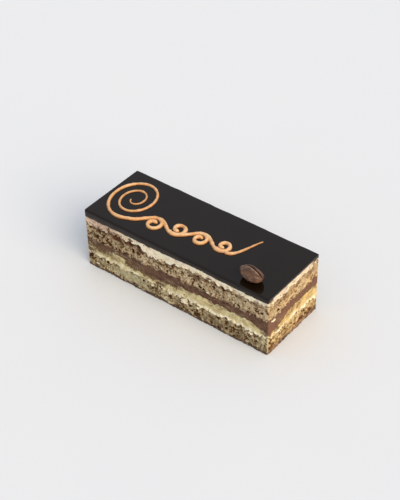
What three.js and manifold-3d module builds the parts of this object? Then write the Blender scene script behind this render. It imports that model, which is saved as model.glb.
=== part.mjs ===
// Slice of opera cake: almond sponge, coffee buttercream and ganache in level layers under a dark
// mirror glaze, with a scroll piped on the glaze and a coffee bean.
// Millimetres, +Z up. The origin is the centre of the underside. +X runs along the slice to its
// right-hand end, and -Y is the long cut face at the front.
import * as THREE from "three";
import { mergeVertices } from "three/addons/utils/BufferGeometryUtils.js";
import Module from "manifold-3d";

const wasm = await Module();
wasm.setup();

// ---------- Driving dimensions ----------
// PIECE_GAP is the clearance between neighbouring pieces.
const LENGTH = 100;
const WIDTH = 36.7;
const HEIGHT = 31.1;
const HALF_LENGTH = LENGTH / 2;
const HALF_WIDTH = WIDTH / 2;
const PIECE_GAP = 0.3;

// ---------- Seams between layers ----------
// edges: a seam's height at the slice's upright edges: front left, front right, back right, back left.
// swells: places where the filling was spread thicker or thinner: the middle, the reach and the rise.
// ripple: half the height of the seam's fine unevenness, and phase: where its waves start.
// plateau: the height away from the long faces, for a seam that droops only along them.
const SEAMS = {
  baseTop: { edges: [1.0, 1.3, 2.4, 1.7], ripple: 0.15, phase: 0.4, swells: [] },
  lowerSpongeTop: {
    edges: [8.0, 9.6, 8.9, 8.4],
    ripple: 0.35,
    phase: 1.9,
    swells: [
      { x: -4, y: -HALF_WIDTH, reach: 1.9, rise: -1.5 },
      { x: 6.5, y: -HALF_WIDTH, reach: 1.9, rise: -1.3 },
      { x: 18, y: HALF_WIDTH, reach: 2.6, rise: -1.4 },
      { x: -HALF_LENGTH, y: 5, reach: 2.4, rise: -1.2 },
    ],
  },
  ganacheUnder: {
    edges: [13.2, 14.8, 15.0, 13.8],
    ripple: 0.3,
    phase: 3.1,
    swells: [
      { x: -9, y: -HALF_WIDTH, reach: 10, rise: -2.2 },
      { x: HALF_LENGTH, y: -12, reach: 6, rise: -2.7 },
      { x: -16, y: HALF_WIDTH, reach: 12, rise: -1.6 },
    ],
  },
  ganacheTop: { edges: [15.7, 18.6, 19.3, 16.6], ripple: 0.25, phase: 4.6, swells: [] },
  upperSpongeTop: {
    edges: [24.0, 27.1, 28.0, 25.2],
    ripple: 0.4,
    phase: 5.5,
    swells: [
      { x: -10, y: -HALF_WIDTH, reach: 9, rise: -2.3 },
      { x: 22, y: HALF_WIDTH, reach: 11, rise: -1.8 },
    ],
  },
  glazeUnder: {
    edges: [27.6, 28.7, 28.8, 28.0],
    ripple: 0.12,
    phase: 0.9,
    swells: [{ x: 12, y: -HALF_WIDTH, reach: 12, rise: 0.6 }],
    plateau: { height: 29.8, reach: 1.6 },
  },
};
const RIPPLE_WAVES = [
  { length: 7.3, across: 0.7, share: 0.6 },
  { length: 4.1, across: -0.45, share: 0.4 },
];

function rippleAt(seam, x, y) {
  let sum = 0;
  for (const wave of RIPPLE_WAVES) {
    const turns = (x + wave.across * y) / wave.length;
    sum += wave.share * Math.sin(2 * Math.PI * turns + seam.phase);
  }
  return seam.ripple * sum;
}

function seamHeight(seam, x, y) {
  const right = 0.5 + x / LENGTH;
  const back = 0.5 + y / WIDTH;
  const [frontLeft, frontRight, backRight, backLeft] = seam.edges;
  const front = THREE.MathUtils.lerp(frontLeft, frontRight, right);
  const rear = THREE.MathUtils.lerp(backLeft, backRight, right);
  let height = THREE.MathUtils.lerp(front, rear, back) + rippleAt(seam, x, y);
  for (const swell of seam.swells) {
    const distance = Math.hypot(x - swell.x, y - swell.y) / swell.reach;
    height += swell.rise * Math.exp(-distance * distance);
  }
  if (!seam.plateau) return height;
  const nearLongFace = Math.exp(-(HALF_WIDTH - Math.abs(y)) / seam.plateau.reach);
  return THREE.MathUtils.lerp(seam.plateau.height, height, nearLongFace);
}

// ---------- The cut outline ----------
// Columns stand round the slice, anticlockwise from its front left edge. outX and outY point out of it.
const LONG_FACE_STEPS = 56;
const END_FACE_STEPS = 20;
const CORNERS = [
  [-1, -1],
  [1, -1],
  [1, 1],
  [-1, 1],
];

function outlineColumns() {
  const columns = [];
  CORNERS.forEach(([fromX, fromY], side) => {
    const [toX, toY] = CORNERS[(side + 1) % CORNERS.length];
    const alongX = fromY === toY;
    const steps = alongX ? LONG_FACE_STEPS : END_FACE_STEPS;
    for (let step = 0; step < steps; step += 1) {
      const atCorner = step === 0;
      columns.push({
        x: HALF_LENGTH * THREE.MathUtils.lerp(fromX, toX, step / steps),
        y: HALF_WIDTH * THREE.MathUtils.lerp(fromY, toY, step / steps),
        outX: atCorner || !alongX ? fromX : 0,
        outY: atCorner || alongX ? fromY : 0,
      });
    }
  });
  return columns;
}

const COLUMNS = outlineColumns();

// ---------- Closed meshes ----------
function meshGeometry(points, triangles) {
  const geometry = new THREE.BufferGeometry();
  geometry.setAttribute("position", new THREE.Float32BufferAttribute(points.flat(), 3));
  geometry.setIndex(triangles.flat());
  return geometry;
}

// Closes one face of a slab: the outline's ring, an inner ring at every second column, a middle point.
const INNER_RING_INSET = 4;

function closeFace(points, triangles, ringStart, height, facesUp) {
  const innerStart = points.length;
  const innerCount = COLUMNS.length / 2;
  for (let inner = 0; inner < innerCount; inner += 1) {
    const column = COLUMNS[2 * inner];
    const x = column.x * (1 - INNER_RING_INSET / HALF_LENGTH);
    const y = column.y * (1 - INNER_RING_INSET / HALF_WIDTH);
    points.push([x, y, height(x, y)]);
  }
  const middle = points.length;
  points.push([0, 0, height(0, 0)]);
  for (let inner = 0; inner < innerCount; inner += 1) {
    const a = ringStart + 2 * inner;
    const b = a + 1;
    const c = ringStart + ((2 * inner + 2) % COLUMNS.length);
    const here = innerStart + inner;
    const next = innerStart + ((inner + 1) % innerCount);
    const fan = [
      [a, b, here],
      [b, next, here],
      [b, c, next],
      [here, next, middle],
    ];
    triangles.push(...fan.map((corners) => (facesUp ? corners : corners.toReversed())));
  }
}

// A slab whose side is rows of points round the outline. pointAt gives the point of a column in a row.
function slabGeometry(rowCount, pointAt, underHeight, topHeight) {
  const points = [];
  const triangles = [];
  for (let row = 0; row <= rowCount; row += 1) {
    COLUMNS.forEach((column, index) => points.push(pointAt(column, row, index)));
  }
  for (let row = 0; row < rowCount; row += 1) {
    for (let index = 0; index < COLUMNS.length; index += 1) {
      const a = row * COLUMNS.length + index;
      const b = row * COLUMNS.length + ((index + 1) % COLUMNS.length);
      triangles.push([a, b, b + COLUMNS.length], [a, b + COLUMNS.length, a + COLUMNS.length]);
    }
  }
  closeFace(points, triangles, 0, underHeight, false);
  closeFace(points, triangles, rowCount * COLUMNS.length, topHeight, true);
  return meshGeometry(points, triangles);
}

// A closed body through equal rings of points, which run anticlockwise about the direction of travel.
function loftGeometry(rings) {
  const points = rings.flat();
  const triangles = [];
  const count = rings[0].length;
  const last = (rings.length - 1) * count;
  for (let ring = 0; ring < rings.length - 1; ring += 1) {
    for (let index = 0; index < count; index += 1) {
      const a = ring * count + index;
      const b = ring * count + ((index + 1) % count);
      triangles.push([a, b, b + count], [a, b + count, a + count]);
    }
  }
  for (let index = 1; index < count - 1; index += 1) {
    triangles.push([0, index + 1, index], [last, last + index, last + index + 1]);
  }
  return meshGeometry(points, triangles);
}

// ---------- Joining and cutting ----------
function solidFrom(geometry) {
  const bare = geometry.clone();
  bare.deleteAttribute("normal");
  bare.deleteAttribute("uv");
  const merged = mergeVertices(bare);
  const mesh = new wasm.Mesh({
    numProp: 3,
    vertProperties: new Float32Array(merged.attributes.position.array),
    triVerts: new Uint32Array(merged.index.array),
  });
  return new wasm.Manifold(mesh);
}

function geometryFrom(solid) {
  const mesh = solid.getMesh();
  const geometry = new THREE.BufferGeometry();
  geometry.setAttribute("position", new THREE.BufferAttribute(mesh.vertProperties, mesh.numProp));
  geometry.setIndex(new THREE.BufferAttribute(mesh.triVerts, 1));
  geometry.computeVertexNormals();
  return geometry;
}

// ---------- Repeatable random draws ----------
const DRAW_FACTOR = 1664525;
const DRAW_STEP = 1013904223;
const DRAW_RANGE = 2 ** 32;

function seededDraws(seed) {
  let state = seed;
  return () => {
    state = (state * DRAW_FACTOR + DRAW_STEP) % DRAW_RANGE;
    return state / DRAW_RANGE;
  };
}

// ---------- Layers below the glaze ----------
// rows: bands of facets up the cut side. relief: how far the knife tore the cut face in, at most. One
// facet corner in poreEvery is a torn pore and lies poreDepth in. EDGE_RELIEF is the share left at a seam.
const EDGE_RELIEF = 0.4;
const SPONGE = { rows: 5, relief: 0.45, poreEvery: 9, poreDepth: 0.95 };
const BUTTERCREAM = { rows: 2, relief: 0.22, poreEvery: Infinity, poreDepth: 0 };
const CHOCOLATE = { rows: 2, relief: 0.15, poreEvery: Infinity, poreDepth: 0 };

const LAYERS = [
  {
    name: "sponge_lower",
    under: SEAMS.baseTop,
    top: SEAMS.lowerSpongeTop,
    cut: SPONGE,
    seed: 11,
    color: 0xb09970,
    roughness: 0.9,
  },
  {
    name: "buttercream_lower",
    under: SEAMS.lowerSpongeTop,
    top: SEAMS.ganacheUnder,
    cut: BUTTERCREAM,
    seed: 23,
    color: 0xe3cf93,
    roughness: 0.55,
  },
  {
    name: "ganache",
    under: SEAMS.ganacheUnder,
    top: SEAMS.ganacheTop,
    cut: CHOCOLATE,
    seed: 31,
    color: 0x6b483f,
    roughness: 0.45,
  },
  {
    name: "sponge_upper",
    under: SEAMS.ganacheTop,
    top: SEAMS.upperSpongeTop,
    cut: SPONGE,
    seed: 47,
    color: 0xb49a72,
    roughness: 0.9,
  },
  {
    name: "buttercream_upper",
    under: SEAMS.upperSpongeTop,
    top: SEAMS.glazeUnder,
    cut: BUTTERCREAM,
    seed: 59,
    color: 0xe9d8b4,
    roughness: 0.55,
  },
];

function cutDepths(cut, seed) {
  const draw = seededDraws(seed);
  const depths = [];
  for (let row = 0; row <= cut.rows; row += 1) {
    const atSeam = row === 0 || row === cut.rows;
    const depthsInRow = COLUMNS.map(() => {
      const torn = draw() < 1 / cut.poreEvery;
      const depth = torn && !atSeam ? cut.poreDepth : cut.relief * draw();
      return atSeam ? depth * EDGE_RELIEF : depth;
    });
    depths.push(depthsInRow);
  }
  return depths;
}

function layerGeometry(layer) {
  const underHeight = (x, y) => seamHeight(layer.under, x, y) + PIECE_GAP / 2;
  const topHeight = (x, y) => seamHeight(layer.top, x, y) - PIECE_GAP / 2;
  const depths = cutDepths(layer.cut, layer.seed);
  const pointAt = (column, row, index) => {
    const depth = depths[row][index];
    const under = underHeight(column.x, column.y);
    const top = topHeight(column.x, column.y);
    return [
      column.x - column.outX * depth,
      column.y - column.outY * depth,
      THREE.MathUtils.lerp(under, top, row / layer.cut.rows),
    ];
  };
  return slabGeometry(layer.cut.rows, pointAt, underHeight, topHeight);
}

function layerMesh(layer) {
  const material = new THREE.MeshStandardMaterial({
    color: layer.color,
    roughness: layer.roughness,
    metalness: 0,
  });
  const mesh = new THREE.Mesh(layerGeometry(layer), material);
  mesh.name = layer.name;
  return mesh;
}

// ---------- Chocolate base ----------
// The thin coat of chocolate under the lowest sponge. Its underside is flat and carries the slice.
function chocolateBaseMesh() {
  const topHeight = (x, y) => seamHeight(SEAMS.baseTop, x, y) - PIECE_GAP / 2;
  const flat = () => 0;
  const pointAt = ({ x, y }, row) => [x, y, row === 0 ? flat() : topHeight(x, y)];
  const material = new THREE.MeshStandardMaterial({ color: 0x3a2417, roughness: 0.5, metalness: 0 });
  const mesh = new THREE.Mesh(slabGeometry(1, pointAt, flat, topHeight), material);
  mesh.name = "chocolate_base";
  return mesh;
}

// ---------- Mirror glaze ----------
// The glaze rounds over the long faces. The end faces are cut after it sets, so they keep a crisp edge.
const LONG_EDGE_RADIUS = 1.2;
const END_EDGE_RADIUS = 0.25;
const ROUND_OVER_BANDS = 2;
const GLAZE_ROWS = 1 + ROUND_OVER_BANDS;

function glazeUnderHeight(x, y) {
  return seamHeight(SEAMS.glazeUnder, x, y) + PIECE_GAP / 2;
}

function glazePoint(column, row) {
  if (row === 0) return [column.x, column.y, glazeUnderHeight(column.x, column.y)];
  const angle = ((row - 1) / ROUND_OVER_BANDS) * (Math.PI / 2);
  const inset = 1 - Math.cos(angle);
  const drop = 1 - Math.sin(angle);
  const radius = column.outY === 0 ? END_EDGE_RADIUS : LONG_EDGE_RADIUS;
  return [
    column.x - column.outX * END_EDGE_RADIUS * inset,
    column.y - column.outY * LONG_EDGE_RADIUS * inset,
    HEIGHT - radius * drop,
  ];
}

function glazeGeometry() {
  return slabGeometry(GLAZE_ROWS, glazePoint, glazeUnderHeight, () => HEIGHT);
}

// ---------- Piped scroll ----------
// A running scroll: a tall volute at the left, a waved stem with a curl in each bend, and a thinning tail.
// Each stroke has a centre line in plan and a bead width from its start to its end, and stands on the
// glaze as a low round bead.
const BEAD_ASPECT = 0.52;
const BEAD_SIDES = 6;
const BEAD_SINK_ANGLE = THREE.MathUtils.degToRad(24);
const BEAD_END_SHARE = 0.05;
const BEAD_END_WIDTH = 0.45;
const BEAD_WIDTHS = { volute: [0.8, 1.9], stem: [1.9, 2.1], curl: [2.0, 2.2], tail: [2.1, 0.7] };

const VOLUTE = {
  centre: new THREE.Vector2(-36.4, 0.9),
  reach: new THREE.Vector2(12.2, 14.6),
  innerShare: 0.16,
  startTurn: -2.42,
  endTurn: -0.165,
  steps: 56,
};
const STEM = { waveLength: 22.6, waves: 2.1, amplitude: 3.2, rise: 6.4, steps: 26 };
const CURL = {
  count: 4,
  firstReach: 4.4,
  lastReach: 3.6,
  innerShare: 0.27,
  lead: 0.12,
  turns: 1.25,
  steps: 17,
};
const TAIL = { startPull: [5.4, -1.6], endPull: [-3, -6.4], end: [26.6, 10.6], steps: 10 };

function pathOf(steps, pointAt) {
  return Array.from({ length: steps + 1 }, (_, step) => pointAt(step / steps));
}

function spiralPoint(centre, reach, share, turn) {
  const angle = 2 * Math.PI * turn;
  return new THREE.Vector2(
    centre.x + reach.x * share * Math.cos(angle),
    centre.y + reach.y * share * Math.sin(angle),
  );
}

function volutePoint(t) {
  const share = THREE.MathUtils.lerp(VOLUTE.innerShare, 1, t);
  const turn = THREE.MathUtils.lerp(VOLUTE.startTurn, VOLUTE.endTurn, t);
  return spiralPoint(VOLUTE.centre, VOLUTE.reach, share, turn);
}

// The stem leaves the volute's outer end at the foot of its first wave.
function stemPoint(t) {
  const start = volutePoint(1);
  const turn = STEM.waves * t;
  const wave = STEM.amplitude * (1 - Math.cos(2 * Math.PI * turn));
  return new THREE.Vector2(start.x + STEM.waveLength * turn, start.y + STEM.rise * t + wave);
}

// A curl fills each bend of the stem: it follows the bend's crest or trough and then winds inwards.
function curlPath(index) {
  const bend = (index + 1) / 2;
  const onStem = stemPoint(bend / STEM.waves);
  const side = index % 2 === 0 ? 1 : -1;
  const size = THREE.MathUtils.lerp(CURL.firstReach, CURL.lastReach, index / (CURL.count - 1));
  const centre = new THREE.Vector2(onStem.x, onStem.y - side * size);
  const startTurn = side * (0.25 + CURL.lead);
  return pathOf(CURL.steps, (t) => {
    const share = THREE.MathUtils.lerp(1, CURL.innerShare, t);
    const turn = startTurn - side * CURL.turns * t;
    return spiralPoint(centre, new THREE.Vector2(size, size), share, turn);
  });
}

function tailPath() {
  const start = stemPoint(1);
  const end = new THREE.Vector2(...TAIL.end);
  const leaving = start.clone().add(new THREE.Vector2(...TAIL.startPull));
  const arriving = end.clone().add(new THREE.Vector2(...TAIL.endPull));
  return new THREE.CubicBezierCurve(start, leaving, arriving, end).getPoints(TAIL.steps);
}

function beadRing(point, direction, width) {
  const ring = [];
  for (let side = 0; side <= BEAD_SIDES; side += 1) {
    const angle = THREE.MathUtils.lerp(-BEAD_SINK_ANGLE, Math.PI + BEAD_SINK_ANGLE, side / BEAD_SIDES);
    const across = (width / 2) * Math.cos(angle);
    ring.push([
      point.x - direction.y * across,
      point.y + direction.x * across,
      HEIGHT + width * BEAD_ASPECT * Math.sin(angle),
    ]);
  }
  return ring;
}

function beadGeometry(path, [startWidth, endWidth]) {
  const rings = path.map((point, index) => {
    const before = path[Math.max(index - 1, 0)];
    const after = path[Math.min(index + 1, path.length - 1)];
    const t = index / (path.length - 1);
    const toEnd = Math.min(t, 1 - t) / BEAD_END_SHARE;
    const rounding = THREE.MathUtils.lerp(BEAD_END_WIDTH, 1, Math.min(toEnd, 1));
    const width = THREE.MathUtils.lerp(startWidth, endWidth, t) * rounding;
    return beadRing(point, after.clone().sub(before).normalize(), width);
  });
  return loftGeometry(rings);
}

function glazedTopMesh() {
  const beads = [
    beadGeometry(pathOf(VOLUTE.steps, volutePoint), BEAD_WIDTHS.volute),
    beadGeometry(pathOf(STEM.steps, stemPoint), BEAD_WIDTHS.stem),
    beadGeometry(tailPath(), BEAD_WIDTHS.tail),
  ];
  for (let index = 0; index < CURL.count; index += 1) {
    beads.push(beadGeometry(curlPath(index), BEAD_WIDTHS.curl));
  }
  let solid = solidFrom(glazeGeometry());
  for (const bead of beads) solid = solid.add(solidFrom(bead));
  const material = new THREE.MeshStandardMaterial({ color: 0x1c1716, roughness: 0.12, metalness: 0 });
  const mesh = new THREE.Mesh(geometryFrom(solid), material);
  mesh.name = "mirror_glaze";
  return mesh;
}

// ---------- Coffee bean ----------
// A roasted bean on its domed back, with its flatter, slit side up. In its own frame X runs along the
// slit, and +Z points out of it. turn and lean are in degrees: the slit side leans to the back.
const BEAN = { length: 11.3, width: 8.5, domeDepth: 3.3, slitSideDepth: 1.8, sections: 20, rings: 12 };
const BEAN_PLACE = { x: 36.8, y: -11.2, turn: -13, lean: 12 };
const SLIT = { width: 0.9, depth: 1.1, sway: 0.45, steps: 10, overshoot: 1 };

function beanBody() {
  const geometry = new THREE.SphereGeometry(1, BEAN.sections, BEAN.rings);
  const position = geometry.attributes.position;
  for (let index = 0; index < position.count; index += 1) {
    const z = position.getZ(index);
    position.setXYZ(
      index,
      (position.getX(index) * BEAN.length) / 2,
      (position.getY(index) * BEAN.width) / 2,
      z * (z > 0 ? BEAN.slitSideDepth : BEAN.domeDepth),
    );
  }
  return solidFrom(geometry);
}

function slitCutter() {
  const rings = [];
  for (let step = 0; step <= SLIT.steps; step += 1) {
    const t = THREE.MathUtils.lerp(-1, 1, step / SLIT.steps);
    const x = (t * BEAN.length) / 2 + SLIT.overshoot * t;
    const y = SLIT.sway * Math.sin(Math.PI * t);
    const surface = BEAN.slitSideDepth * Math.sqrt(Math.max(1 - t * t, 0));
    rings.push([
      [x, y + SLIT.width, surface + SLIT.depth],
      [x, y - SLIT.width, surface + SLIT.depth],
      [x, y, surface - SLIT.depth],
    ]);
  }
  return solidFrom(loftGeometry(rings));
}

function coffeeBeanMesh() {
  const material = new THREE.MeshStandardMaterial({ color: 0x5c4033, roughness: 0.45, metalness: 0 });
  const mesh = new THREE.Mesh(geometryFrom(beanBody().subtract(slitCutter())), material);
  mesh.name = "coffee_bean";
  const lean = THREE.MathUtils.degToRad(-BEAN_PLACE.lean);
  const turn = THREE.MathUtils.degToRad(BEAN_PLACE.turn);
  mesh.rotation.set(lean, 0, turn, "ZXY");
  mesh.updateMatrixWorld(true);
  const lowest = new THREE.Box3().setFromObject(mesh, true).min.z;
  mesh.position.set(BEAN_PLACE.x, BEAN_PLACE.y, HEIGHT + PIECE_GAP - lowest);
  return mesh;
}

// ---------- The slice ----------
const slice = new THREE.Group();
slice.add(chocolateBaseMesh());
for (const layer of LAYERS) slice.add(layerMesh(layer));
slice.add(glazedTopMesh());
slice.add(coffeeBeanMesh());

export default slice;
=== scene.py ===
import math

import bmesh
import bpy
import numpy as np
from mathutils import Matrix, Vector, noise


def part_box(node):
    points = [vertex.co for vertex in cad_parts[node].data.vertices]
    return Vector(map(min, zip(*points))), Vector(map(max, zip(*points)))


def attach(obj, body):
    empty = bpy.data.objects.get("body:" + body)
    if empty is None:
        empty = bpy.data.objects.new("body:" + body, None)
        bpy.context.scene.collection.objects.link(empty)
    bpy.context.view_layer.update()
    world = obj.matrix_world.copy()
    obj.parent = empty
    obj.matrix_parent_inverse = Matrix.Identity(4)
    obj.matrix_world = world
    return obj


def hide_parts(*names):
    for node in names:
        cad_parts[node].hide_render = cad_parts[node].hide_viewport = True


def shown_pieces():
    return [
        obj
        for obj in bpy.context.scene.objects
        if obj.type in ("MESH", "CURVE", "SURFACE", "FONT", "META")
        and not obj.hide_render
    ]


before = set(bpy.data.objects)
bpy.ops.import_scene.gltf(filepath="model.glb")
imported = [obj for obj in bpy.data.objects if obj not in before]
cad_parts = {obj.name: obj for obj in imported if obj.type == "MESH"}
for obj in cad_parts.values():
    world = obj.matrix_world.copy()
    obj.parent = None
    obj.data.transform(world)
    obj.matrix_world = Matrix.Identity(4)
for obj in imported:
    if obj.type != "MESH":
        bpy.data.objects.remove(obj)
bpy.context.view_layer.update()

# ---------- Chocolate base ----------
# The lowest sponge is sealed underneath with a thin coat of dark chocolate. It sets hard, carries the
# slice on a flat underside, and shows as a dark line with crumbs on it where the knife went through.
MM = 0.001
base_low, base_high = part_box("chocolate_base")
HALF_LENGTH = base_high.x / MM
HALF_WIDTH = base_high.y / MM

# Columns of points stand round the slice. Its corners are a little rounded, and their columns take
# only CORNER_HOLD of a face's relief, because they draw together inwards.
COLUMN_SPACING = 0.2
CORNER_RADIUS = 0.6
CORNER_HOLD = 0.4
CORNER_FADE = 1.0
CORNERS = ((-1, -1), (1, -1), (1, 1), (-1, 1))


def cut_outline(inset_x=0.0, inset_y=0.0, radius=CORNER_RADIUS):
    """Columns, anticlockwise from the front left corner, set in from the ends and the long faces.

    Returns x, y, outward x, outward y and hold, one of each for every column."""
    middles = np.array([HALF_LENGTH - inset_x - radius, HALF_WIDTH - inset_y - radius])
    arc_steps = round(math.pi / 2 * CORNER_RADIUS / COLUMN_SPACING)
    columns = []
    for quarter, corner in enumerate(CORNERS):
        centre = middles * corner
        following = middles * CORNERS[(quarter + 1) % len(CORNERS)]
        for step in range(arc_steps):
            angle = math.pi / 2 * (2 + quarter + step / arc_steps)
            out = np.array([math.cos(angle), math.sin(angle)])
            columns.append((*(centre + radius * out), *out, CORNER_HOLD))
        angle = math.pi / 2 * (3 + quarter)
        out = np.array([math.cos(angle), math.sin(angle)]).round()
        face_length = 2 * (HALF_LENGTH, HALF_WIDTH)[quarter % 2] - 2 * CORNER_RADIUS
        steps = round(face_length / COLUMN_SPACING)
        for step in range(steps):
            share = step / steps
            from_corner = min(share, 1 - share) * face_length
            hold = 1 - (1 - CORNER_HOLD) * math.exp(-from_corner / CORNER_FADE)
            place = centre + share * (following - centre) + radius * out
            columns.append((*place, *out, hold))
    return np.array(columns).T


COLUMN_X, COLUMN_Y, OUT_X, OUT_Y, HOLD = cut_outline()
COLUMN_COUNT = len(COLUMN_X)


def unevenness(x, y, seed, size, octaves=3):
    """Fractal unevenness, about -1 to 1, with bumps of the given size."""
    places = (Vector((a / size, b / size, seed)) for a, b in zip(x, y))
    return np.array([noise.fractal(place, 0.7, 2.1, octaves) for place in places])


# Every seam ripples in the same two waves: length, slant across the slice, and share.
RIPPLE_WAVES = ((7.3, 0.7, 0.6), (4.1, -0.45, 0.4))
SEAM_OCTAVES = 2


def make_seam(edges, ripple, phase, swells=(), plateau=None, torn=(0, 0), torn_size=1.6):
    """The height of the seam between two layers, as a function of x and y.

    edges: its height at the upright edges: front left, front right, back right, back left.
    swells: where filling was spread thicker or thinner: middle x, middle y, reach and rise.
    plateau: the height away from the long faces, and the reach of the droop along them.
    torn: how far the knife tore it up and down at the left and at the right, in bumps of torn_size.
    """
    front_left, front_right, back_right, back_left = edges

    def height(x, y):
        right = 0.5 + x / (2 * HALF_LENGTH)
        back = 0.5 + y / (2 * HALF_WIDTH)
        front = front_left + (front_right - front_left) * right
        rear = back_left + (back_right - back_left) * right
        level = front + (rear - front) * back
        for length, slant, share in RIPPLE_WAVES:
            level = level + ripple * share * np.sin(2 * np.pi * (x + slant * y) / length + phase)
        for middle_x, middle_y, reach, rise in swells:
            level = level + rise * np.exp(-((x - middle_x) ** 2 + (y - middle_y) ** 2) / reach**2)
        if plateau:
            near_long_face = np.exp(-(HALF_WIDTH - np.abs(y)) / plateau[1])
            level = plateau[0] + (level - plateau[0]) * near_long_face
        ragged = torn[0] + (torn[1] - torn[0]) * right
        return level + ragged * unevenness(x, y, 10 * phase, torn_size, SEAM_OCTAVES)

    return height


def floor_level(x, y):
    return np.zeros_like(x)


# A layer runs LAP into its neighbours, so that the torn relief never opens a gap at a seam.
LAP = 0.15
CAP_INSETS = (1.5, 4.0)


class Slab:
    """A layer of the slice: rows of points up the cut side, and a cap above and below."""

    def __init__(self, name, under, top, rows, under_lap=LAP, top_lap=LAP):
        low = under(COLUMN_X, COLUMN_Y) - under_lap
        high = top(COLUMN_X, COLUMN_Y) + top_lap
        rings = [(COLUMN_X, COLUMN_Y, low + (high - low) * row / rows, row / rows, 1)
                 for row in range(rows + 1)]
        for seam, lap, rise in ((top, top_lap, 1), (under, -under_lap, 0)):
            for inset in CAP_INSETS:
                x, y = cut_outline(inset, inset)[:2]
                rings.append((x, y, seam(x, y) + lap, rise, 0))
        self.x = np.concatenate([ring[0] for ring in rings])
        self.y = np.concatenate([ring[1] for ring in rings])
        self.z = np.concatenate([ring[2] for ring in rings])
        self.rise = np.repeat([float(ring[3]) for ring in rings], COLUMN_COUNT)
        on_side = np.repeat([float(ring[4]) for ring in rings], COLUMN_COUNT)
        self.out_x, self.out_y = np.tile(OUT_X, len(rings)), np.tile(OUT_Y, len(rings))
        hold = np.tile(HOLD, len(rings)) * on_side

        above = rows + len(CAP_INSETS)
        order = [*range(len(rings) - 1, above, -1), *range(above + 1)]
        self.piece = mesh_piece(name, self.x, self.y, self.z, band_faces(order))
        outward = np.stack([self.out_x * hold, self.out_y * hold, 0 * hold], 1)
        paint_points(self.piece, "outward", outward, "FLOAT_VECTOR")
        self.paint("rise", self.rise)
        self.paint("end_face", np.abs(self.out_x))

    def paint(self, name, values):
        paint_points(self.piece, name, values)

    def on_face(self, face):
        """For one cut face: how much each point belongs to it, and its place along it."""
        out, along = {
            "front": (-self.out_y, self.x),
            "right": (self.out_x, self.y),
            "back": (self.out_y, self.x),
            "left": (-self.out_x, self.y),
        }[face]
        return np.clip(4 * out - 3, 0, 1), along

    def patches(self, spots, wander=0.35, wander_size=0.8, steepness=2):
        """0 to 1 over soft-edged patches of the cut faces.

        spots: for each face, rows of place along it, height, reach along, reach up and strength.
        wander: how far a patch's edge strays, in bumps of wander_size.
        steepness: the edge grows harder with it."""
        total = np.zeros_like(self.x)
        drift = 1 + wander * unevenness(self.x + self.y, self.z, 3.3, wander_size, 2)
        for face, rows in spots.items():
            belongs, along = self.on_face(face)
            for middle, level, reach_along, reach_up, strength in rows:
                far = ((along - middle) / reach_along) ** 2 + ((self.z - level) / reach_up) ** 2
                patch = strength * belongs * np.exp(-np.abs(far * drift) ** steepness)
                total = np.maximum(total, patch)
        return total


def paint_points(piece, name, values, kind="FLOAT"):
    """Stores a value, or a vector, at each point for the relief or the material."""
    attribute = piece.data.attributes.new(name, kind, "POINT")
    field = "value" if kind == "FLOAT" else "vector"
    attribute.data.foreach_set(field, np.asarray(values, np.float32).ravel())


def band_faces(order):
    """Faces of a closed body made of rings of columns, given from its underside's middle to its top's."""
    here = np.arange(COLUMN_COUNT)
    following = (here + 1) % COLUMN_COUNT
    faces = [(order[0] * COLUMN_COUNT + here)[::-1].tolist(), (order[-1] * COLUMN_COUNT + here).tolist()]
    for first, second in zip(order, order[1:]):
        a, b = first * COLUMN_COUNT, second * COLUMN_COUNT
        faces += np.stack([a + here, a + following, b + following, b + here], 1).tolist()
    return faces


def add_object(name, data):
    """An object of the scene that shows the data."""
    piece = bpy.data.objects.new(name, data)
    bpy.context.scene.collection.objects.link(piece)
    return piece


def mesh_piece(name, x, y, z, faces):
    """An object from points in millimetres and faces."""
    mesh = bpy.data.meshes.new(name)
    mesh.from_pydata((np.stack([x, y, z], 1) * MM).tolist(), [], faces)
    mesh.shade_smooth()
    return add_object(name, mesh)


def new_node(tree, kind, inputs=None, **settings):
    """Adds a node, sets it up, and sets or links its inputs, which go by name or by place."""
    node = tree.nodes.new(kind)
    for setting, value in settings.items():
        setattr(node, setting, value)
    for socket, value in (inputs or {}).items():
        if isinstance(value, bpy.types.NodeSocket):
            tree.links.new(value, node.inputs[socket])
        else:
            node.inputs[socket].default_value = value
    return node


def maths(tree, operation, a, b=0.0, c=0.0, clamp=False):
    inputs = {0: a, 1: b, 2: c}
    node = new_node(tree, "ShaderNodeMath", inputs, operation=operation, use_clamp=clamp)
    return node.outputs[0]


def times(tree, a, b):
    """The product of two values, such as a mask and its strength."""
    return maths(tree, "MULTIPLY", a, b)


def vector_maths(tree, operation, a, b):
    second = "Scale" if operation == "SCALE" else 1
    return new_node(tree, "ShaderNodeVectorMath", {0: a, second: b}, operation=operation).outputs[0]


def fade(tree, value, start, end):
    """0 at start and 1 at end, eased at both. start may be the larger one."""
    inputs = {0: value, 1: start, 2: end, 3: 0.0, 4: 1.0}
    node = new_node(tree, "ShaderNodeMapRange", inputs, interpolation_type="SMOOTHSTEP")
    return node.outputs[0]


def new_group(name, kind, inputs, outputs):
    """A node tree with named inputs and outputs. Returns it with its input and output nodes."""
    tree = bpy.data.node_groups.new(name, kind)
    for side, sockets in (("INPUT", inputs), ("OUTPUT", outputs)):
        for label, (socket, default) in sockets.items():
            made = tree.interface.new_socket(label, in_out=side, socket_type="NodeSocket" + socket)
            if default is not None:
                made.default_value = default
    return tree, tree.nodes.new("NodeGroupInput"), tree.nodes.new("NodeGroupOutput")


# A pore fills part of a cell, and the cells are bent so that none is quite round. Its radius and the
# bend are shares of the cell's size, and its flat bottom is a share of its radius.
PORE_RADIUS, PORE_RADIUS_SPREAD, PORE_BOTTOM = 0.2, 0.34, 0.4
PORE_BEND, PORE_BEND_PITCH = 1.1, 0.9
SHALLOWEST_PORE = 0.5


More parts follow.
